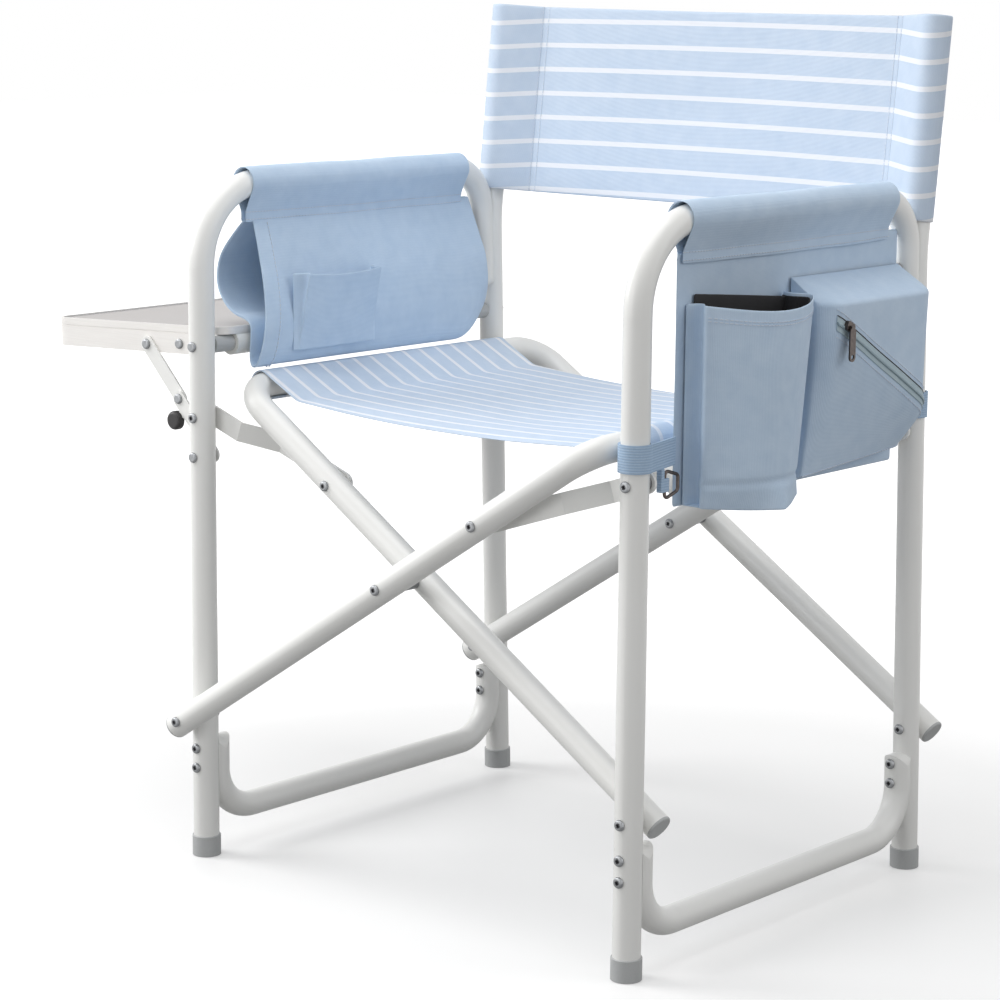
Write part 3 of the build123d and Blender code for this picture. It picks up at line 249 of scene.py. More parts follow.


# Seat sling: polyester canvas with woven white stripes, sewn into a sleeve on
# each rail. The web between the sleeves is drawn tight and sags a little. When
# the frame folds, the sleeves stay on their rails; the real web gathers, but
# here it moves with the seat in one piece.
WEAVE = 0.0011
SLUB = 1 / 60
STRIPE_PITCH = 0.025
STRIPE_WIDTH = 0.005
WAVE_REPEAT = 0.314


def woven(name, dark, light, stripe_axis=None, stripe_start=0.0, turn=0.0):
    """Plain-woven cloth: crossing threads, a soft sheen, and stripes where asked.

    The threads are drawn about twice as coarse as real ones, so that they show.
    A wave texture at a scale of 1 repeats every 0.314 m."""
    made, tree, shader, place = new_finish(name)
    turned = node(tree, "ShaderNodeMapping", {"Vector": place, "Rotation": (turn, 0, 0)})
    threads = []
    for direction in ("X", "Y", "Z"):
        wave = node(tree, "ShaderNodeTexWave", {"Vector": turned.outputs["Vector"],
                    "Scale": WAVE_REPEAT / WEAVE, "Distortion": 0.6, "Detail": 1.0}, bands_direction=direction)
        threads.append(wave.outputs["Fac"])
    crossed = node(tree, "ShaderNodeMath", {0: threads[0], 1: threads[1]}, operation="ADD")
    weave = node(tree, "ShaderNodeMath", {0: crossed.outputs[0], 1: threads[2]}, operation="ADD")
    slub = node(tree, "ShaderNodeTexNoise", {"Vector": place, "Scale": 1 / SLUB, "Detail": 3.0})
    mottle = node(tree, "ShaderNodeMath", {0: weave.outputs[0], 1: 0.11, 2: slub.outputs["Fac"]},
                  operation="MULTIPLY_ADD")
    depth = node(tree, "ShaderNodeMapRange", {"Value": mottle.outputs[0], "From Min": 0.2, "From Max": 1.1})
    ground = node(tree, "ShaderNodeMix", {"Factor": depth.outputs["Result"],
                  "A": linear(dark), "B": linear(light)}, data_type="RGBA")
    colour = ground.outputs["Result"]
    if stripe_axis:
        split = node(tree, "ShaderNodeSeparateXYZ", {0: turned.outputs["Vector"]})
        from_first = node(tree, "ShaderNodeMath", {0: split.outputs[stripe_axis], 1: stripe_start},
                          operation="SUBTRACT")
        count = node(tree, "ShaderNodeMath", {0: from_first.outputs[0], 1: STRIPE_PITCH}, operation="DIVIDE")
        part = node(tree, "ShaderNodeMath", {0: count.outputs[0]}, operation="FRACT")
        stripe = node(tree, "ShaderNodeMath", {0: part.outputs[0], 1: STRIPE_WIDTH / STRIPE_PITCH},
                      operation="LESS_THAN")
        striped = node(tree, "ShaderNodeMix", {"Factor": stripe.outputs[0], "A": colour,
                       "B": linear("#EDF0F6")}, data_type="RGBA")
        colour = striped.outputs["Result"]
    bump = node(tree, "ShaderNodeBump", {"Height": weave.outputs[0], "Strength": 0.25, "Distance": 0.0003})
    feed(shader, {"Base Color": colour, "Normal": bump.outputs["Normal"], "Roughness": 0.82,
                  "Sheen Weight": 0.12, "Sheen Roughness": 0.45})
    return made


def run_length(points):
    """Length of a run of points."""
    return sum((b - a).length for a, b in zip(points, points[1:]))


def along(points, share):
    """The place at a share of the way along a run of points."""
    steps = [(b - a).length for a, b in zip(points, points[1:])]
    left = share * sum(steps)
    for step, a, b in zip(steps, points, points[1:]):
        if left <= step:
            return a.lerp(b, left / step if step else 0.0)
        left -= step
    return points[-1]


def share_of(points, index):
    """Share of the way along a run of points at which one of them lies."""
    return run_length(points[:index + 1]) / run_length(points)


def part_of(laid, start, end):
    """One strip of a laid cut, between two shares of its width."""
    return lambda u, v: laid(start + (end - start) * u, v)


def arc(x, z, radius, start, end, steps):
    """Points round a tube, from one angle to another, in degrees."""
    angles = [math.radians(start + (end - start) * i / steps) for i in range(steps + 1)]
    return [Vector((x + radius * math.cos(a), z + radius * math.sin(a))) for a in angles]


def mirrored(points, x=0.0):
    """A run of points mirrored across a plane and run the other way."""
    return [Vector((2 * x - p.x, p.y)) for p in reversed(points)]


def cloth(name, columns, rows, laid, finish, thickness, body):
    """A cut of cloth: a grid laid by a function of two shares, then given its thickness."""
    bm = bmesh.new()
    bmesh.ops.create_grid(bm, x_segments=columns, y_segments=rows, size=0.5)
    for vert in bm.verts:
        vert.co = laid(vert.co.x + 0.5, vert.co.y + 0.5)
    bmesh.ops.recalc_face_normals(bm, faces=bm.faces)
    for face in bm.faces:
        face.smooth = True
    piece = made_piece(name, bm, finish)
    wall = piece.modifiers.new("thickness", "SOLIDIFY")
    wall.thickness = thickness
    wall.offset = 0.0
    rounding = piece.modifiers.new("rounding", "SUBSURF")
    rounding.levels = 1
    rounding.render_levels = 1
    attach(piece, body)
    return piece


def cut_size(laid, samples=60):
    """Flat width and length of a laid cut, measured along its two middle lines."""
    shares = [i / samples for i in range(samples + 1)]
    return run_length([laid(t, 0.5) for t in shares]), run_length([laid(0.5, t) for t in shares])


GROUND_DARK, GROUND_LIGHT = "#BFD0E4", "#D0DDED"
canvas = woven("blue_striped_canvas_seat", GROUND_DARK, GROUND_LIGHT, "Y", 0.003)
SLING_CLOTH = 0.0014
SLEEVE = 0.0148
SLEEVE_WALL = 0.0004
KINK_IN = 0.052
KINK_DROP = 0.010
SAG = 0.006
WEB_PARTS = 12
seat_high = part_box("seat_sling")[1]
rail_x = seat_high[0] - SLEEVE - SLEEVE_WALL
rail_z = seat_high[2] - SLEEVE - SLEEVE_WALL
left_sleeve = arc(-rail_x, rail_z, SLEEVE, -50, -310, 20)
kink_x, kink_z = rail_x - KINK_IN, rail_z - KINK_DROP
web = [Vector((-kink_x + 2 * kink_x * i / WEB_PARTS, kink_z - SAG * math.sin(math.pi * i / WEB_PARTS)))
       for i in range(WEB_PARTS + 1)]
seat_run = left_sleeve + web + mirrored(left_sleeve)
FRONT_LEFT, FRONT_RIGHT = -0.174, -0.188
REAR_LEFT, REAR_RIGHT = 0.190, 0.154
SEAT_RIPPLE = 0.0012
HEM_CURL = 0.0016
CURL_SHARE = 0.03


def seat_laid(u, v):
    point = along(seat_run, u)
    across = (point.x + rail_x) / (2 * rail_x)
    front = FRONT_LEFT + (FRONT_RIGHT - FRONT_LEFT) * across
    rear = REAR_LEFT + (REAR_RIGHT - REAR_LEFT) * across
    y = front + (rear - front) * v
    inside = max(0.0, 1 - (point.x / kink_x) ** 2)
    ripple = SEAT_RIPPLE * noise.noise(Vector((point.x * 9, y * 22, 0.3)))
    curl = HEM_CURL * math.exp(-(min(v, 1 - v) / CURL_SHARE) ** 2)
    return Vector((point.x, y, point.y + inside * (ripple - curl)))


SEWN_LAP = 0.004
seat_in = share_of(seat_run, len(left_sleeve) - 1)
for name, start, end, columns, body in (
        ("seat_left_sleeve", 0.0, seat_in, 30, "inner_cross"),
        ("seat_canvas", seat_in - SEWN_LAP, 1 - seat_in + SEWN_LAP, 110, "seat"),
        ("seat_right_sleeve", 1 - seat_in, 1.0, 30, "outer_cross")):
    strip = part_of(seat_laid, start, end)
    piece = cloth(name, columns, 72, strip, canvas, SLING_CLOTH, body)
    if name == "seat_canvas":
        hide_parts("seat_sling")
        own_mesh(piece)
    cut_size(strip)


# Back sling: the same canvas, with a sleeve dropped over each upright and a
# double-stitched seam inside it, where the cloth comes back on itself. The
# sleeves stay on the uprights when the frame folds; the real web gathers, but
# here it moves with the left upright in one piece.
BACK_RAKE = math.radians(6.5)
back_canvas = woven("blue_striped_canvas_back", GROUND_DARK, GROUND_LIGHT, "Z", 0.0, -BACK_RAKE)
BACK_TALL = 0.1983
SEAM_IN = 0.047
WEB_SET = 0.011
WEB_SAG = 0.011
LAYER_GAP = 0.0012
BACK_PARTS = 14
BACK_SLACK = 0.0016
post_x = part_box("back_sling")[1][0] - SLEEVE - SLEEVE_WALL
post_low = Vector((0.0, 0.2079, 0.654))
up = Vector((0.0, math.sin(BACK_RAKE), math.cos(BACK_RAKE)))
rearward = Vector((0.0, math.cos(BACK_RAKE), -math.sin(BACK_RAKE)))
seam_x = post_x - SEAM_IN
left_loop = [Vector((-seam_x, WEB_SET + LAYER_GAP))]
left_loop += arc(-post_x, 0.0, SLEEVE, 62, 298, 22)
left_loop += [Vector((-seam_x, WEB_SET))]
shares = [i / BACK_PARTS for i in range(1, BACK_PARTS)]
back_web = [Vector((-seam_x + 2 * seam_x * t, WEB_SET + WEB_SAG * math.sin(math.pi * t))) for t in shares]
back_run = left_loop + back_web + mirrored(left_loop)


def back_laid(u, v):
    point = along(back_run, u)
    free = max(0.0, 1 - abs(point.x) / seam_x)
    slack = BACK_SLACK * noise.noise(Vector((point.x * 7, v * 3, 1.7))) * free
    return post_low + Vector((point.x, 0, 0)) + rearward * (point.y + slack) + up * (BACK_TALL * v)


back_in = share_of(back_run, len(left_loop) - 1)
back_out = share_of(back_run, len(left_loop) + len(back_web))
for name, start, end, columns, body in (
        ("back_left_sleeve", 0.0, back_in, 44, "left_frame"),
        ("back_canvas", back_in - SEWN_LAP, back_out + SEWN_LAP, 90, "left_frame"),
        ("back_right_sleeve", back_out, 1.0, 44, "right_frame")):
    strip = part_of(back_laid, start, end)
    piece = cloth(name, columns, 40, strip, back_canvas, SLING_CLOTH, body)
    if name == "back_canvas":
        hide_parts("back_sling")
        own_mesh(piece)
    cut_size(strip)

STITCH_PITCH = 0.0042
STITCH_LENGTH = 0.0030
THREAD = 0.0008
SEAM_SAMPLES = 80
PROBE = 0.004
thread_finish = woven("pale_polyester_thread", "#C9D5E5", "#DDE5F0")


def stitch_row(name, laid, line, facing, body):
    """Short proud threads along a line on a laid cut, on the side that faces the given way."""
    sewn = [laid(*line(i / SEAM_SAMPLES)) for i in range(SEAM_SAMPLES + 1)]
    count = max(2, round(run_length(sewn) / STITCH_PITCH))
    bm = bmesh.new()
    for i in range(count):
        u, v = line((i + 0.5) / count)
        here = laid(u, v)
        ahead = (laid(*line((i + 0.6) / count)) - laid(*line((i + 0.4) / count))).normalized()
        wide = laid(min(1.0, u + PROBE), v) - laid(max(0.0, u - PROBE), v)
        tall = laid(u, min(1.0, v + PROBE)) - laid(u, max(0.0, v - PROBE))
        out = wide.cross(tall).normalized()
        if out.dot(facing(here)) < 0:
            out.negate()
        side = out.cross(ahead).normalized()
        turn = Matrix((ahead, side, out)).transposed().to_4x4()
        shape = Matrix.Diagonal((STITCH_LENGTH, THREAD, THREAD, 1))
        bmesh.ops.create_cube(bm, size=1.0, matrix=Matrix.Translation(here + out * THREAD) @ turn @ shape)
    made = made_piece(name, bm, thread_finish)
    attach(made, body)
    return made


for side, seam, inward in (("left", back_in, 1), ("right", back_out, -1)):
    for row, offset, body in (("sleeve", -0.004, f"{side}_frame"), ("web", 0.006, "left_frame")):
        stitches = stitch_row(f"back_{side}_{row}_stitches", back_laid,
                              lambda t: (seam + inward * offset, t), lambda p: Vector((0, -1, 0)), body)
        if row == "web":
            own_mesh(stitches)


# Arm covers: plain blue canvas wrapped over the arm tube and closed below it
# by a flat flap, sewn twice along its length.
plain_canvas = woven("plain_blue_canvas", "#BBD1E8", "#CEE0F3")
COVER_CLOTH = 0.0012
ARM_X = 0.274
ARM_Z = 0.680
COVER_R = 0.0150
# Half the flap's width, and the height it is at, from its foot to the tube.
FLAP = ((0.0028, 0.6405), (0.0030, 0.651), (0.0068, 0.660))
COVER_BULGE = 0.0010
COVER_DROOP = 0.0012


def cover_run(x):
    """Section of a cover: up one face of the flap, over the tube, and down the other face."""
    right = [Vector((x + half, z)) for half, z in FLAP]
    return right + arc(x, ARM_Z, COVER_R, -28, 208, 18) + mirrored(right, x)


for side, x in (("left", -ARM_X), ("right", ARM_X)):
    low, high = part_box(f"{side}_arm_cover")
    run = cover_run(x)

    def cover_laid(u, v):
        point = along(run, u)
        y = low[1] + (high[1] - low[1]) * v
        bulge = COVER_BULGE * noise.noise(Vector((u * 5, y * 14, 2.0 + x)))
        droop = COVER_DROOP * math.sin(math.pi * v)
        away = (point - Vector((x, ARM_Z))).normalized()
        return Vector((point.x + away.x * bulge, y, point.y + away.y * bulge - droop * (point.y < ARM_Z)))

    cover = cloth(f"{side}_arm_canvas", 76, 40, cover_laid, plain_canvas, COVER_CLOTH, f"{side}_frame")
    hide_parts(f"{side}_arm_cover")
    cut_size(cover_laid)
    for face in (1, -1):
        face_name = "outer" if face * x > 0 else "inner"
        for row, height in (("hem", 0.0030), ("tuck", 0.0108)):
            share = height / cut_size(cover_laid)[0]
            u = share if face > 0 else 1 - share
            stitch_row(f"{side}_cover_{face_name}_{row}_stitches", cover_laid, lambda t: (u, t),
                       lambda p: Vector((face, 0, 0)), f"{side}_frame")


# Left pouch: one loop of canvas hung under the arm, open at its ends, with a
# wide hem at the front. It bellies towards the sitter and out over the table,
# and hangs in soft creases from the seam above.
pouch_low, pouch_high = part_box("left_pouch")
pouch_x = -ARM_X
pouch_points = [Vector((pouch_x + x / 1000, z / 1000)) for x, z in (
    (1, 648), (13, 621), (27.5, 585), (35, 550), (35.4, 526), (32, 507),
    (25, 498.5), (19, 507), (17, 525), (14.6, 540), (6, 545.5), (-8, 549),
    (-22, 557), (-34, 571), (-38.6, 588), (-35, 607), (-19, 629), (-1, 648))]


def clamp(value):
    """A value held between nought and one."""
    return max(0.0, min(1.0, value))


def smooth_run(points, steps=6):
    """A run of points rounded off, by passing a curve through them."""
    made = []
    for i in range(len(points) - 1):
        before = points[max(i - 1, 0)]
        a, b = points[i], points[i + 1]
        after = points[min(i + 2, len(points) - 1)]
        for k in range(steps):
            t = k / steps
            made.append(0.5 * (2 * a + (b - before) * t + (2 * before - 5 * a + 4 * b - after) * t * t
                               + (3 * a - before - 3 * b + after) * t ** 3))
    return made + [points[-1]]


pouch_run = smooth_run(pouch_points)
POUCH_TOP, POUCH_FALL = 0.648, 0.148
FRONT_SET, FRONT_RAKE = 0.008, 0.022
CLOSE_FROM, CLOSE_BELOW, CLOSE_FADE = 0.86, 0.60, 0.10
CLOSE_RISE, CLOSE_IN, CLOSE_X = 0.030, 0.35, 0.012
FACE_FADE_X, FACE_TOP, FACE_FADE_Z = 0.02, 0.635, 0.03
CREASE_HALF, CREASE_Z, CREASE_REACH, LEAN_Z = 0.007, 0.612, 0.045, 0.62
# Where each crease lies along the pouch, how it leans, and how proud it is.
CREASES = ((-0.055, 0.25, 0.0022), (-0.025, 0.1, 0.0026), (0.004, -0.05, 0.002),
           (0.030, -0.1, 0.0016), (0.095, -0.2, 0.0014))
POUCH_RIPPLE = 0.0018
POUCH_SET = 0.001


def pouch_laid(u, v):
    point = along(pouch_run, u)
    front = pouch_low[1] + FRONT_SET - FRONT_RAKE * clamp((POUCH_TOP - point.y) / POUCH_FALL)
    y = front + (pouch_high[1] - front) * v
    closing = max(0.0, (v - CLOSE_FROM) / (1 - CLOSE_FROM)) ** 2
    closing *= max(0.0, (CLOSE_BELOW - point.y) / CLOSE_FADE)
    z = point.y + closing * CLOSE_RISE
    x = point.x + (pouch_x + CLOSE_X - point.x) * closing * CLOSE_IN
    inner = clamp((point.x - pouch_x) / FACE_FADE_X) * clamp((FACE_TOP - point.y) / FACE_FADE_Z)
    fold = sum(height * math.exp(-((y - where - (LEAN_Z - point.y) * lean) / CREASE_HALF) ** 2)
               for where, lean, height in CREASES)
    crease = fold * max(0.0, 1 - abs(point.y - CREASE_Z) / CREASE_REACH)
    ripple = POUCH_RIPPLE * noise.noise(Vector((point.y * 16, y * 12, 4.0)))
    return Vector((x + inner * (crease + ripple) - POUCH_SET, y, z))


pouch = cloth("arm_pouch_canvas", 96, 64, pouch_laid, plain_canvas, COVER_CLOTH, "left_frame")
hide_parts("left_pouch")
cut_size(pouch_laid)

HEM_CLOTH = 0.0009
HEM_SHARE = 0.066
HEM_INSET = 0.03
HEM_PROUD = 0.0011
HEM_SEAM = 0.88
LOOP_X, LOOP_Z = 0.006, 0.575


def pouch_out(place):
    """Outward from the middle of the pouch's loop."""
    return Vector((place.x - pouch_x - LOOP_X, 0, place.z - LOOP_Z))


def pouch_hem_laid(u, v):
    place = pouch_laid(HEM_INSET + (1 - 2 * HEM_INSET) * u, HEM_SHARE * v)
    return place + pouch_out(place).normalized() * HEM_PROUD


pouch_hem = cloth("pouch_front_hem", 90, 6, pouch_hem_laid, plain_canvas, HEM_CLOTH, "left_frame")
cut_size(pouch_hem_laid)
stitch_row("pouch_hem_stitches", pouch_hem_laid, lambda t: (t, HEM_SEAM), pouch_out, "left_frame")


# Pleated pocket on the pouch: a canvas face on two folded gussets, open above,
# sewn down along its sides and its foot.
pocket_low, pocket_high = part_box("left_pouch_pocket")
POCKET_CLOTH = 0.0011
POCKET_BACK = 0.0360
POCKET_FOOT, POCKET_FLARE = 0.003, 0.014
PLEAT_SHARE = 0.14
PLEAT_TUCK = 0.010
PLEAT_IN = 0.006
POCKET_BELLY = 0.0022
POCKET_RIPPLE = 0.0012
POCKET_SAG = 0.003


def pocket_laid(u, v):
    z = pocket_low[2] + (pocket_high[2] - pocket_low[2]) * v
    depth = POCKET_FOOT + POCKET_FLARE * v ** 1.2
    back_x = pouch_x + POCKET_BACK
    if u < PLEAT_SHARE or u > 1 - PLEAT_SHARE:
        share = min(u, 1 - u) / PLEAT_SHARE
        edge, inward = (pocket_low[1], 1) if u < 0.5 else (pocket_high[1], -1)
        tuck = math.sin(math.pi * share) * PLEAT_TUCK * v
        return Vector((back_x + depth * share, edge + inward * (tuck + PLEAT_IN * share), z))
    share = (u - PLEAT_SHARE) / (1 - 2 * PLEAT_SHARE)
    bow = math.sin(math.pi * share)
    y = pocket_low[1] + PLEAT_IN + (pocket_high[1] - pocket_low[1] - 2 * PLEAT_IN) * share
    belly = POCKET_BELLY * bow * math.sin(math.pi * min(1.0, v * 1.1))
    ripple = POCKET_RIPPLE * noise.noise(Vector((y * 25, z * 18, 7.0)))
    return Vector((back_x + depth + belly + ripple, y, z - POCKET_SAG * bow * v))


pocket = cloth("pouch_pleated_pocket", 60, 26, pocket_laid, plain_canvas, POCKET_CLOTH, "left_frame")
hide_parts("left_pouch_pocket")
cut_size(pocket_laid)


# Organiser panel: canvas hung from the right arm cover between the legs. The
# pockets are sewn to it.
panel_low, panel_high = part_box("organiser_panel")
panel_x = (panel_low[0] + panel_high[0]) / 2
PANEL_CLOTH = 0.0014
PANEL_TUCK = 0.010
PANEL_RIPPLE = 0.0009


def panel_laid(u, v):
    y = panel_low[1] + (panel_high[1] - panel_low[1]) * u
    z = panel_low[2] + (panel_high[2] + PANEL_TUCK - panel_low[2]) * v
    ripple = PANEL_RIPPLE * noise.noise(Vector((y * 12, z * 9, 3.1)))
    return Vector((panel_x + ripple * math.sin(math.pi * v), y, z))


panel = cloth("organiser_canvas", 60, 40, panel_laid, plain_canvas, PANEL_CLOTH, "right_frame")
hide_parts("organiser_panel")
cut_size(panel_laid)


# Bottle pocket: a half-round canvas pocket with a turned hem at its mouth and
# a sewn-in base, lined in black nylon. A folded gusset on each side lets it
# open.
bottle_low, bottle_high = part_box("bottle_pocket")
bottle_tall = bottle_high[2] - bottle_low[2]
BOTTLE_BACK = 0.0008
FRONT_IN, REAR_IN, TOP_DOWN = 0.003, 0.004, 0.001
REAR_TAPER = 0.024
MOUTH_SAG = 0.007
GUSSET_SHARE = 0.1
GUSSET_DEEP, GUSSET_REAR = 0.019, 0.012
GUSSET_FOLD, REAR_FOLD = 0.013, 0.6
BOTTLE_BELLY = 0.033
BOTTLE_RIPPLE = 0.0024
BASE_SEAM = 0.022
BASE_DEEP, BASE_PEAK = 0.040, 1.1
BASE_DROOP = 0.004
PINCH, PINCH_HALF = 0.0026, 0.0024


def bottle_laid(u, v, inset=0.0, drop=0.0):
    across = clamp((u - GUSSET_SHARE) / (1 - 2 * GUSSET_SHARE))
    bow = math.sin(math.pi * across)
    top = bottle_high[2] - TOP_DOWN - drop - MOUTH_SAG * bow
    z = bottle_low[2] + (top - bottle_low[2]) * v
    rise = z - bottle_low[2]
    front = bottle_low[1] + FRONT_IN + inset
    rear = bottle_high[1] - REAR_IN - REAR_TAPER * (1 - rise / bottle_tall) - inset
    belly = BOTTLE_BELLY * bow ** 0.75
    below = max(0.0, 1 - rise / BASE_SEAM)
    corner = BASE_DEEP * (1 - abs(2 * across - BASE_PEAK) / BASE_PEAK)
    seam = PINCH * math.exp(-((rise - BASE_SEAM) / PINCH_HALF) ** 2)
    ripple = BOTTLE_RIPPLE * noise.noise(Vector((across * 3.0, z * 13, 5.5))) * bow
    side = GUSSET_DEEP + GUSSET_REAR * across
    deep = side + belly * (1 - below) + max(0.0, corner) * below - seam + ripple - inset
    share = min(1.0, u / GUSSET_SHARE, (1 - u) / GUSSET_SHARE)
    fold = GUSSET_FOLD * math.sin(math.pi * share) if share < 1.0 else 0.0
    y = front + (rear - front) * across + (fold if u < 0.5 else -REAR_FOLD * fold)
    return Vector((bottle_low[0] + BOTTLE_BACK + deep * share, y, z - BASE_DROOP * below * bow))


def outward(place):
    """Away from the sitter, anywhere on the right side."""
    return Vector((1, 0, 0))


bottle = cloth("bottle_pocket_canvas", 56, 60, bottle_laid, plain_canvas, COVER_CLOTH, "right_frame")
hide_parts("bottle_pocket")
cut_size(bottle_laid)
MOUTH_FROM = 0.11
for row, down in (("upper", 0.0105), ("lower", 0.0135)):
    v = 1 - down / bottle_tall
    stitch_row(f"bottle_hem_{row}_stitches", bottle_laid,
               lambda t: (MOUTH_FROM + (1 - 2 * MOUTH_FROM) * t, v), outward, "right_frame")

# Black lining cloth. The same black also paints the shadow gap under the zip's lip, further down.
lining_and_lip_shadow = woven("black_nylon_lining_and_painted_lip_shadow", "#101013", "#1D1C20")
LINING_CLOTH = 0.0006
LINING_FROM = 0.55
LINING_IN = 0.0020
LINING_DOWN = 0.003


def bottle_lining_laid(u, v):
    return bottle_laid(u, LINING_FROM + (1 - LINING_FROM) * v, LINING_IN, LINING_DOWN)


bottle_lining = cloth("bottle_pocket_lining", 48, 30, bottle_lining_laid, lining_and_lip_shadow, LINING_CLOTH, "right_frame")
cut_size(bottle_lining_laid)

BACK_LINING_FRONT, BACK_LINING_REAR = 0.014, 0.008
BACK_LINING_UP, BACK_LINING_FALL = 0.007, 0.012
BACK_LINING_TALL = 0.085
BACK_LINING_SET, BACK_LINING_CURVE = 0.0012, 0.008


def back_lining_laid(u, v):
    front, rear = bottle_low[1] + BACK_LINING_FRONT, bottle_high[1] - BACK_LINING_REAR
    top = bottle_high[2] + BACK_LINING_UP - BACK_LINING_FALL * u
    x = bottle_low[0] + BACK_LINING_SET + BACK_LINING_CURVE * u ** 2
    return Vector((x, front + (rear - front) * u, top - BACK_LINING_TALL * (1 - v)))


back_lining = cloth("bottle_pocket_back_lining", 30, 16, back_lining_laid, lining_and_lip_shadow, LINING_CLOTH, "right_frame")
cut_size(back_lining_laid)

BASE_BACK = 0.001
BASE_UP = 0.006


def bottle_base_laid(u, v):
    edge = bottle_laid(u, BASE_UP)
    back = bottle_low[0] + BASE_BACK
    return Vector((back + (edge.x - back) * v, edge.y, edge.z))


bottle_base = cloth("bottle_pocket_base", 48, 10, bottle_base_laid, plain_canvas, COVER_CLOTH, "right_frame")


# Zip pocket: a gusseted canvas pocket, fuller at its top, with a slanted zip
# across its face. It is sewn to the panel, and again along the zip and the foot.
zip_low, zip_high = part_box("zip_pocket")
tape_low, tape_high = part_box("zip_tape")
ZIP_EDGE = 0.1
ZIP_BACK = 0.0006
ZIP_IN = 0.001
FOOT_RISE = 0.012
zip_front, zip_wide = zip_low[1] + ZIP_IN, zip_high[1] - zip_low[1] - 2 * ZIP_IN
zip_top = zip_high[2] - 0.004
zip_deep = tape_low[0] - zip_low[0] - 0.0008
FULL_BELOW = 0.016
FOOT_THIN, REAR_THIN, FRONT_THIN = 0.62, 0.35, 0.34
REAR_FROM, FRONT_TO = 0.86, 0.12
ZIP_DENT = 0.0022
TOP_SLOPE = 0.022
FOOT_TUCK = 0.005


def zip_height(y):
    """Height of the zip's upper edge, which slopes down to the rear."""
    return tape_high[2] + (tape_low[2] - tape_high[2]) * (y - tape_low[1]) / (tape_high[1] - tape_low[1])


def zip_laid(u, v):
    across = clamp((u - ZIP_EDGE) / (1 - 2 * ZIP_EDGE))
    rise = clamp((v - ZIP_EDGE) / (1 - 2 * ZIP_EDGE))
    y = zip_front + zip_wide * across
    low = zip_low[2] + FOOT_RISE * across
    z = low + (zip_top - low) * rise
    full = zip_height(y) - FULL_BELOW
    under = max(0.0, (full - z) / (full - low))
    rear = max(0.0, (across - REAR_FROM) / (1 - REAR_FROM))
    ahead = max(0.0, 1 - across / FRONT_TO)
    thinner = FOOT_THIN * under ** 1.2 + REAR_THIN * rear ** 2 * (1 - 0.5 * rise)
    thinner += FRONT_THIN * ahead ** 2 * (1 - under)
    dent = ZIP_DENT * noise.noise(Vector((across * 2.6, rise * 2.2, 8.0))) * math.sin(math.pi * across)
    wall = min(1.0, u / ZIP_EDGE, (1 - u) / ZIP_EDGE, v / ZIP_EDGE, (1 - v) / ZIP_EDGE)
    if v > 1 - ZIP_EDGE:
        z += TOP_SLOPE * (1 - wall)
    if v < ZIP_EDGE:
        z += FOOT_TUCK * math.sin(math.pi * wall)
    return Vector((zip_low[0] + ZIP_BACK + (zip_deep * (1 - thinner) - max(0.0, dent)) * wall, y, z))


zip_piece = cloth("zip_pocket_canvas", 70, 60, zip_laid, plain_canvas, COVER_CLOTH, "right_frame")
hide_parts("zip_pocket")
cut_size(zip_laid)

FLANGE = 0.014
ZIP_END = 0.003


def zip_line(t, down):
    """Shares of the pocket's cut along the zip, or along a line a little below it."""
    y = tape_low[1] + (zip_high[1] - ZIP_END - tape_low[1]) * t
    across = (y - zip_front) / zip_wide
    low = zip_low[2] + FOOT_RISE * across
    rise = (zip_height(y) - down - low) / (zip_top - low)
    return ZIP_EDGE + across * (1 - 2 * ZIP_EDGE), ZIP_EDGE + rise * (1 - 2 * ZIP_EDGE)


for row, line in (("flange", lambda t: zip_line(t, FLANGE + 0.005)),
                  ("lip", lambda t: zip_line(t, -0.006)),
                  ("foot", lambda t: (ZIP_EDGE + (1 - 2 * ZIP_EDGE) * t, ZIP_EDGE + 0.012))):
    stitch_row(f"zip_{row}_stitches", zip_laid, line, outward, "right_frame")


# Zip: a pale nylon coil sewn on woven tape, let into the pocket's face under a
# lip, whose shadow gap is drawn as a thin strip of painted shadow in the black
# lining cloth. The slider, its pull and the D-ring have the same gunmetal plating.
zip_tape_finish = woven("pale_woven_zip_tape", "#A9BFC9", "#C3D3DA")
TOOTH = 0.0016
zip_coil_finish, tree, shader, place = new_finish("pale_nylon_zip_coil")
teeth = node(tree, "ShaderNodeTexWave", {"Vector": place, "Scale": WAVE_REPEAT / TOOTH}, bands_direction="Y")
tint = node(tree, "ShaderNodeMix", {"Factor": teeth.outputs["Fac"],
            "A": linear("#7F97A3"), "B": linear("#AFC2CB")}, data_type="RGBA")
bump = node(tree, "ShaderNodeBump", {"Height": teeth.outputs["Fac"], "Strength": 0.5, "Distance": 0.0006})
feed(shader, {"Base Color": tint.outputs["Result"], "Normal": bump.outputs["Normal"], "Roughness": 0.45})
TAPE_CLOTH, TAPE_PROUD = 0.0010, 0.0011
COIL_WALL, COIL_PROUD = 0.0004, 0.0022
COIL_HALF, COIL_DEEP = 0.0016, 0.0011
LIP_SHADOW_WIDTH, LIP_SHADOW_PROUD = 0.0012, 0.0015


def tape_laid(u, v):
    return zip_laid(*zip_line(u, FLANGE * v)) + Vector((TAPE_PROUD, 0, 0))


tape = cloth("zip_tape_and_coil", 60, 8, tape_laid, zip_tape_finish, TAPE_CLOTH, "right_frame")
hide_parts("zip_tape")
cut_size(tape_laid)


def coil_laid(u, v):
    place = zip_laid(*zip_line(u, FLANGE * 0.5 + COIL_HALF * math.cos(2 * math.pi * v)))
    return place + Vector((COIL_PROUD + COIL_DEEP * math.sin(2 * math.pi * v), 0, 0))


cloth("zip_coil", 160, 8, coil_laid, zip_coil_finish, COIL_WALL, "right_frame")


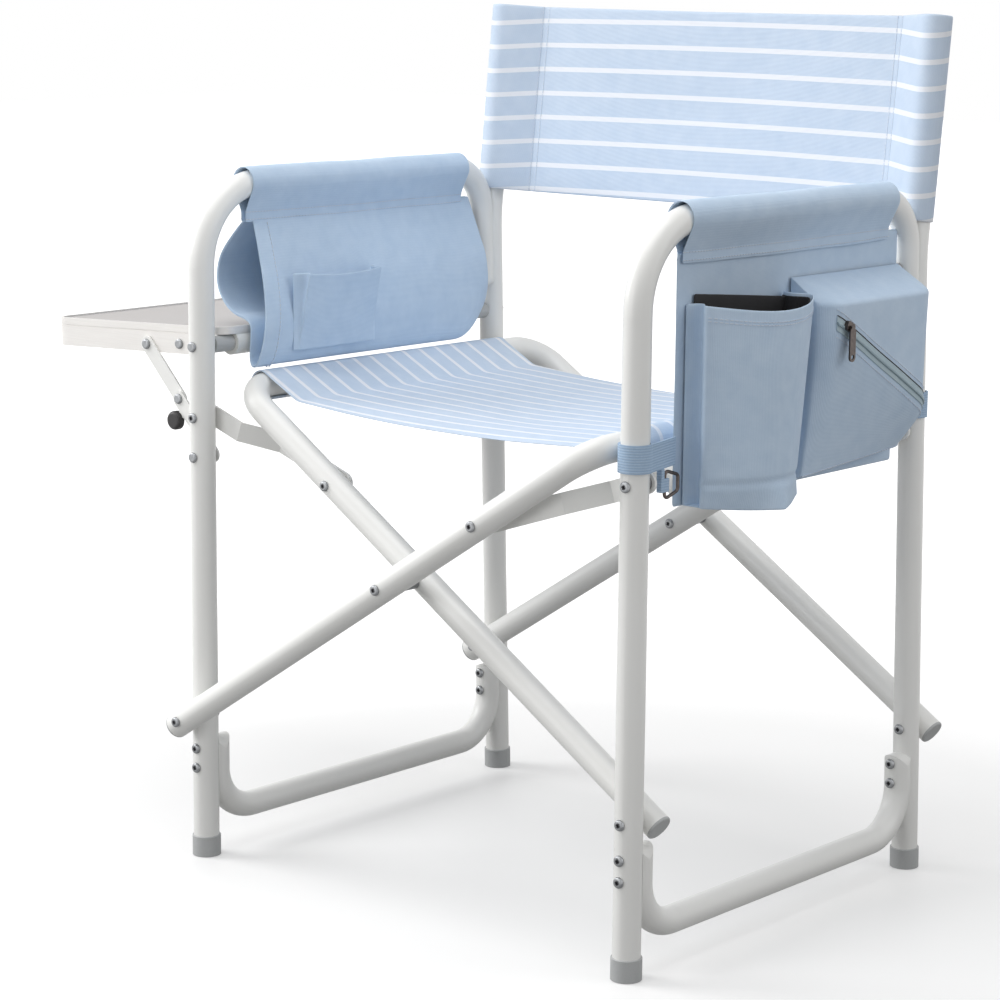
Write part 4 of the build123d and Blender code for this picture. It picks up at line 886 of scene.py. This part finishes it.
# Painted shadow: a thin black strip along the zip's upper edge stands in for the shadow gap under the lip.
def lip_shadow_laid(u, v):
    return zip_laid(*zip_line(u, -LIP_SHADOW_WIDTH * v)) + Vector((LIP_SHADOW_PROUD, 0, 0))


cloth("zip_lip_painted_shadow", 60, 2, lip_shadow_laid, lining_and_lip_shadow, LINING_CLOTH, "right_frame")

GUNMETAL_CLOUD = 1 / 300
gunmetal, tree, shader, place = new_finish("gunmetal_plated_zinc")
cloudy = node(tree, "ShaderNodeTexNoise", {"Vector": place, "Scale": 1 / GUNMETAL_CLOUD, "Detail": 3.0})
tint = node(tree, "ShaderNodeMix", {"Factor": cloudy.outputs["Fac"],
            "A": linear("#3A3534"), "B": linear("#6A615D")}, data_type="RGBA")
feed(shader, {"Base Color": tint.outputs["Result"], "Metallic": 0.9, "Roughness": 0.32})
dress(["zip_slider", "zip_pull", "d_ring"], gunmetal)


# Straps and tab: polyester webbing, woven with a ribbed face. The straps hold
# the organiser to the legs, and the tab carries the D-ring.
RIB = 0.0024
FIBRE = 1 / 700
webbing, tree, shader, place = new_finish("blue_polyester_webbing")
ribs = node(tree, "ShaderNodeTexWave", {"Vector": place, "Scale": WAVE_REPEAT / RIB}, bands_direction="Z")
fibre = node(tree, "ShaderNodeTexNoise", {"Vector": place, "Scale": 1 / FIBRE, "Detail": 2.0})
mixed = node(tree, "ShaderNodeMath", {0: ribs.outputs["Fac"], 1: fibre.outputs["Fac"]}, operation="MULTIPLY")
tint = node(tree, "ShaderNodeMix", {"Factor": mixed.outputs[0],
            "A": linear("#9DB8D4"), "B": linear("#C3D5E9")}, data_type="RGBA")
bump = node(tree, "ShaderNodeBump", {"Height": ribs.outputs["Fac"], "Strength": 0.4, "Distance": 0.0005})
feed(shader, {"Base Color": tint.outputs["Result"], "Normal": bump.outputs["Normal"], "Roughness": 0.75})
dress(["organiser_straps", "ring_tab"], webbing)


# Studio: a white sweep that shows as plain white and keeps the soft shadow
# under the feet, a broad key lamp from the left, and three weaker lamps from
# above, the front and the right.
FLOOR_HALF = 12.0
FLOOR_DROP = 0.0005
paper, tree, shader, place = new_finish("white_background_paper")
rays = node(tree, "ShaderNodeLightPath")
bounce = node(tree, "ShaderNodeMix", {"Factor": rays.outputs["Is Camera Ray"],
              "A": linear("#8A8A8A"), "B": linear("#F5F5F5")}, data_type="RGBA")
feed(shader, {"Base Color": bounce.outputs["Result"], "Roughness": 0.5})
seen = node(tree, "ShaderNodeMath", {0: rays.outputs["Is Camera Ray"], 1: rays.outputs["Is Glossy Ray"]},
            operation="MAXIMUM")
reach = node(tree, "ShaderNodeVectorMath", {0: place}, operation="LENGTH")
glow = node(tree, "ShaderNodeMapRange", {"Value": reach.outputs["Value"], "From Min": 0.6, "From Max": 1.3,
            "To Min": 0.22, "To Max": 1.0})
share = node(tree, "ShaderNodeMath", {0: seen.outputs[0], 1: glow.outputs["Result"]}, operation="MULTIPLY")
white = node(tree, "ShaderNodeEmission", {"Color": (1, 1, 1, 1), "Strength": 1.35})
mixed = node(tree, "ShaderNodeMixShader", {0: share.outputs[0], 1: shader.outputs[0], 2: white.outputs[0]})
feed(tree.nodes["Material Output"], {"Surface": mixed.outputs[0]})

bm = bmesh.new()
bmesh.ops.create_grid(bm, x_segments=1, y_segments=1, size=FLOOR_HALF)
floor = made_piece("studio_floor", bm, paper)
floor.location = (0, 0, -FLOOR_DROP)

scene = bpy.context.scene
scene.view_settings.view_transform = "Standard"
world = bpy.data.worlds.new("white_studio")
scene.world = world
world.use_nodes = True
tree = world.node_tree
rays = node(tree, "ShaderNodeLightPath")
seen = node(tree, "ShaderNodeMath", {0: rays.outputs["Is Camera Ray"], 1: rays.outputs["Is Glossy Ray"]},
            operation="MAXIMUM")
level = node(tree, "ShaderNodeMapRange", {"Value": seen.outputs[0], "To Min": 0.44, "To Max": 1.0})
feed(tree.nodes["Background"], {"Strength": level.outputs["Result"], "Color": (1, 1, 1, 1)})


def lamp(name, where, towards, size, power):
    """A rectangular soft lamp, turned towards a place."""
    data = bpy.data.lights.new(name, "AREA")
    data.shape = "RECTANGLE"
    data.size, data.size_y = size
    data.energy = power
    made = bpy.data.objects.new(name, data)
    made.location = where
    made.rotation_euler = (Vector(towards) - Vector(where)).to_track_quat("-Z", "Y").to_euler()
    bpy.context.collection.objects.link(made)


lamp("left_softbox", (-2.4, -1.3, 1.9), (0, 0, 0.45), (1.6, 2.0), 56)
lamp("top_softbox", (0.0, -0.5, 2.8), (0, 0, 0.5), (1.8, 1.8), 24)
lamp("front_softbox", (-0.6, -3.0, 1.2), (0, 0, 0.5), (1.6, 1.6), 16)
lamp("right_softbox", (2.5, 0.9, 1.5), (0, 0, 0.5), (1.2, 1.8), 12)

CAMERA_AT = (1.82215, -2.18320, 0.90471)
AZIMUTH, ELEVATION, ROLL = 41.054, 10.653, 0.51
camera_data = bpy.data.cameras.new("camera")
camera = bpy.data.objects.new("camera", camera_data)
bpy.context.collection.objects.link(camera)
turned = Matrix.Rotation(math.radians(AZIMUTH), 4, "Z") @ Matrix.Rotation(math.radians(90 - ELEVATION), 4, "X")
camera.matrix_world = (Matrix.Translation(CAMERA_AT) @ turned
                       @ Matrix.Rotation(math.radians(ROLL), 4, "Z"))
camera_data.sensor_width = 36.0
camera_data.lens = 104.69
camera_data.shift_x = 0.0012
camera_data.shift_y = 0.0015
camera_data.clip_start = 0.05
scene.camera = camera
